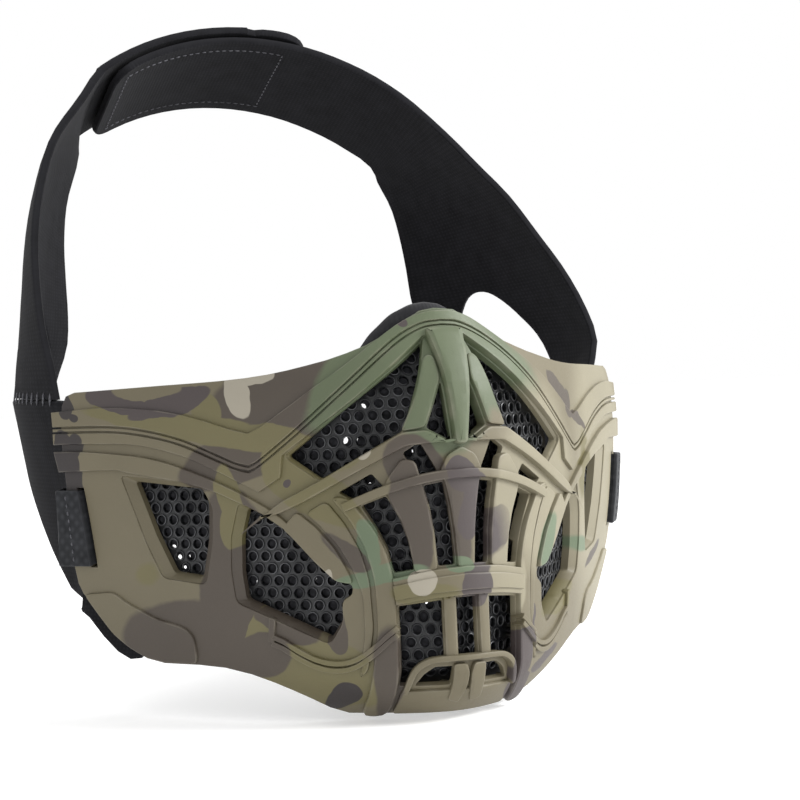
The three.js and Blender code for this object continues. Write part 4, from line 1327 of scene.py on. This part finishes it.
SWING_START, SWING_END = (0, 0.121, -0.018), (0, 0.121, 0.046)
straps = {}
for side, strap, start, corner in (("left", left_strap, 0, 11), ("right", right_strap, 7.0, 0)):
    bm = new_plates()
    outline = strap_outline(strap, start, corner)
    plate(bm, [outline], 0, -STRAP_THICKNESS, edge=CUT_EDGE, foot_edge=0.4, grids=STRAP_GRID)
    made = finish_piece(side + "_headband_strap", bm, strap.wrap, neoprene)
    straps[side] = made
    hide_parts(side + "_strap", side + "_strap_front_leg", side + "_strap_rear_leg")

# %% Tongue, flap and hook patch over the crown
FLAP_FROM = 46.0 / 180 * math.pi * OUTER_LAYER  # where the tongue gives way to the flap
TONGUE_LAYER = -0.03  # a hair lower, so that it never lies exactly in the strap's face


def crown_plate(name, start, end, corner, half, top, thickness, strap, material, edge):
    bm = new_plates()
    left = [(start, -half), (start, half)]
    points = [(end - 2 * corner, half), (end, half), (end, -half), (end - 2 * corner, -half)]
    points = rounded(points, corner, 6)[4:-4] if corner else [(end, half), (end, -half)]
    plate(bm, [[*left, *points]], top, top - thickness, edge=edge, foot_edge=0.3, grids=STRAP_GRID)
    return finish_piece(name, bm, strap.wrap, material)


tongue = crown_plate(
    "tongue", 9.8, FLAP_FROM + 1.2, 0, EDGE, TONGUE_LAYER, 2.4, tongue_strap, neoprene,
    0.5,
)
flap = crown_plate(
    "flap", FLAP_FROM - 1.2, tongue_strap.length - 0.7, 12, EDGE, 0, 2.5, tongue_strap, neoprene,
    0.6,
)
patch = crown_plate(
    "hook_strip", 18.5, 78, 0, 18.75, -STRAP_THICKNESS - 0.35, 0.8, tongue_strap, hook_tape,
    0.2,
)
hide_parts("strap_tongue")
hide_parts("strap_flap")
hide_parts("hook_patch")

# %% [markdown]
# ## Stitching
# Rows of thread hold the hook patch to the inner layer, close the straps' feet and hold the
# tabs. Each stitch is one small smooth bead of thread, set along a line on the flat pattern and
# wrapped with the cloth under it.

# %% Stitches


def stitch_row(target, line, pitch, length, width, height, w):
    """Beads of thread along a flat line, each turned along it."""
    line = [Vector(q) for q in line]
    carried = pitch / 2
    for a, b in zip(line, line[1:]):
        along = b - a
        while carried < along.length:
            at = a + along.normalized() * carried
            place = (
                Matrix.Translation((at.x, at.y, w))
                @ Matrix.Rotation(math.atan2(along.y, along.x), 4, "Z")
                @ Matrix.Diagonal((length / 2, width / 2, height, 1))
            )
            bmesh.ops.create_uvsphere(target, u_segments=8, v_segments=4, radius=1, matrix=place)
            carried += pitch
        carried -= along.length


def stitched(name, rows, wrap, w, pitch=2.4, length=1.7, width=0.5, height=0.28):
    bm = new_plates()
    for line in rows:
        stitch_row(bm, line, pitch, length, width, height, w)
    return finish_piece(name, bm, wrap, thread, sharp=180)


S0, S1, A0 = 5.0, 63.0, 19.5
box_line = [(S0, -A0), (S1, -A0), (S1, A0), (S0, A0), (S0, -A0)]
under = stitched("patch_stitches_inside", [box_line], left_strap.wrap, -STRAP_THICKNESS - 0.05)
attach(under, "headband")
over = stitched(
    "patch_stitches", [[(20, -17), (76.5, -17), (76.5, 17), (20, 17), (20, -17)]],
    tongue_strap.wrap, -STRAP_THICKNESS - 0.3,
)
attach(over, "headband")
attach(patch, "headband")

# %% Let the straps bend at their joints
for side, made in straps.items():
    strap = left_strap if side == "left" else right_strap
    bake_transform(made, "mask", "headband", start=SWING_START, end=SWING_END)
bend_a = tongue_strap.wrap(np.array([[11.0, 0, 0]]))[0]
bend_b = tongue_strap.wrap(np.array([[34.0, 0, 0]]))[0]
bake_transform(tongue, "headband", "tongue", start=bend_a, end=bend_b)
fold_a = tongue_strap.wrap(np.array([[FLAP_FROM - 1.0, 0, 0]]))[0]
fold_b = tongue_strap.wrap(np.array([[FLAP_FROM + 6.0, 0, 0]]))[0]
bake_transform(flap, "tongue", "flap", start=fold_a, end=fold_b)

# %% [markdown]
# ## Side wings and tabs
# A neoprene wing lines each rear edge of the shell and carries on back to the strap's legs. The
# webbing tab comes out of the slot in the shell, lies over its rear edge and is sewn to the
# wing. Both are plates, wrapped on the shell's own surface where they touch it.

# %% Side wings
WING_FRONT, WING_LEAN, WING_JOIN = -3.5, 0.16, 121.0
WING_CHORD = (np.array([88.5, 76.5]), np.array([71.6, 152.0]))
WING_BULGE, WING_RUN = 11.5, 77.4
BLEND_BEFORE, BLEND_RUN = 3, 9  # where the wing leaves the shell's inside
WING_OUTLINE = [
    (99, -20.4), (121, -20.4), (198.2, -20.4), (198.2, -24), (184, -28), (171, -34.5), (161, -43),
    (151, -54), (142, -66), (133.5, -76.5), (127, -79.6), (121.5, -81.6), (116, -84.8),
    (110, -90.6), (104.5, -95), (99.5, -97.6), (96, -97), (96.6, -90), (101.8, -78), (105.6, -54),
    (109, -30),
]
WING_GRID = ([*np.arange(95, 205, 4.0)], [*np.arange(-16, -100, -6.0)])


def wing_point(s, v):
    """Under the shell up to its rear edge, then a bulging panel that leans in as it goes down."""
    shell_face = off_surface(
        face_point, np.minimum(s, WING_JOIN), v, np.full_like(s, WING_FRONT), 0.5, 0.5,
    )
    share = np.clip((s - WING_JOIN) / WING_RUN, 0, 1)[..., None]
    (a, b), tuck = WING_CHORD, (v + 20) * WING_LEAN
    run = (b - a) / np.linalg.norm(b - a)
    swell = 4 * share * (1 - share) * WING_BULGE
    panel = a + (b - a) * share + np.array([run[1], -run[0]]) * swell
    panel = np.concatenate([panel, v[..., None]], axis=-1)
    panel[..., 0] += tuck
    mix = np.clip((s - WING_JOIN + BLEND_BEFORE) / BLEND_RUN, 0, 1)[..., None]
    mix = mix * mix * (3 - 2 * mix)
    return shell_face * (1 - mix) + panel * mix


def wrap_wing(side):
    def wrap(flat):
        made = off_surface(wing_point, flat[:, 0], flat[:, 1], flat[:, 2], 0.5, 0.5) * MM
        return made * np.array([side, 1, 1])

    return wrap


TAB_TOP, TAB_THICKNESS, TAB_BRINK = 1.9, 1.5, 125.6
TAB_OUTLINE = [(117.1, -46), (131.4, -46), (127.4, -67.6), (112.3, -67.6)]
TAB_PLUG = [(117.2, -46.2), (118.3, -46.2), (113.5, -67.4), (112.4, -67.4)]  # down the slot
TAB_GRID = ([*np.arange(110, 132, 1.0)], [*np.arange(-44, -70, -5.0)])


def wrap_tab(side):
    """On the shell's face, then folded in over its rear edge to the wing behind."""
    def wrap(flat):
        u, v, w = flat[:, 0], flat[:, 1], flat[:, 2]
        brink = TAB_BRINK + (v + 42) * 0.07
        past = np.maximum(u - brink, 0)
        made = off_surface(
            face_point, np.minimum(u, brink) + past * 0.55, v, w - past * 0.9 - past**2 * 0.06,
            0.5, 0.5,
        )
        return made * MM * np.array([side, 1, 1])

    return wrap


for side, sign in (("left", 1), ("right", -1)):
    bm = new_plates()
    plate(bm, [WING_OUTLINE], 0, -STRAP_THICKNESS, edge=0.6, foot_edge=0.4, grids=WING_GRID)
    wing = finish_piece(side + "_wing", bm, wrap_wing(sign), neoprene)
    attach(wing, "mask")
    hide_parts(side + "_side_wing")
    bm = new_plates()
    plate(
        bm, [rounded(TAB_OUTLINE, 0.6)], TAB_TOP, TAB_TOP - TAB_THICKNESS, edge=0.45,
        foot_edge=0.3, grids=TAB_GRID,
    )
    plate(bm, [TAB_PLUG], TAB_TOP - 0.35, -WALL, edge=0, grids=TAB_GRID)
    tab = finish_piece(side + "_webbing_tab", bm, wrap_tab(sign), webbing)
    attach(tab, "mask")
    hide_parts(side + "_tab")
    strap = left_strap if sign > 0 else right_strap
    feet = [
        (-24.2, strap.find(*EAR_OPENING[0])[1] - 1.5), (strap.find(*EAR_OPENING[-1])[1] + 1.2, 24),
    ]
    crossing = [
        [(strap.length - 1.9, a), (strap.length + 2.3, a + 0.9)]
        for start, end in feet for a in np.arange(start, end, 2.2)
    ]
    joined = stitched(side + "_foot_stitches", crossing, strap.wrap, 0.02, pitch=4.2, length=3.9)
    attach(joined, "mask")
    seam = stitched(
        side + "_tab_stitches", [[(121.6, -47), (118.2, -66.6)]], wrap_tab(sign), TAB_TOP + 0.02,
        pitch=2.2, length=1.3,
    )
    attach(seam, "mask")

# %% [markdown]
# ## Nose pad
# A strip of covered foam rests on the bridge of the nose, behind the mesh. It is crowned, with
# rounded edges all round, and its top shows over the shell.

# %% Nose pad
PAD_TOP = [(0, 1.2), (7, 1), (14, -0.2), (21, -3.2), (26.5, -7.6), (31, -13)]
PAD_FOOT = [(31, -20), (26.5, -18.2), (21, -15.4), (14, -11.6), (7, -8), (0, -6.4)]
bm = new_plates()
half = PAD_TOP + PAD_FOOT
pad_outline = [*half, *mirror(half[-2:0:-1])]
plate(bm, [rounded(pad_outline, 2)], -6.8, -11.8, edge=2.0, rounds=4, foot_edge=1.8)
pad = finish_piece("nose_cushion", bm, wrap_face, foam)
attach(pad, "mask")
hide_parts("nose_pad")

# %% Sizes and finish
size = {"cad": [list(c) for c in CAD_BOX], "visual": [list(c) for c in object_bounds()]}
print("size:", [round((b - a) / MM, 1) for a, b in zip(*size["visual"])], "mm")
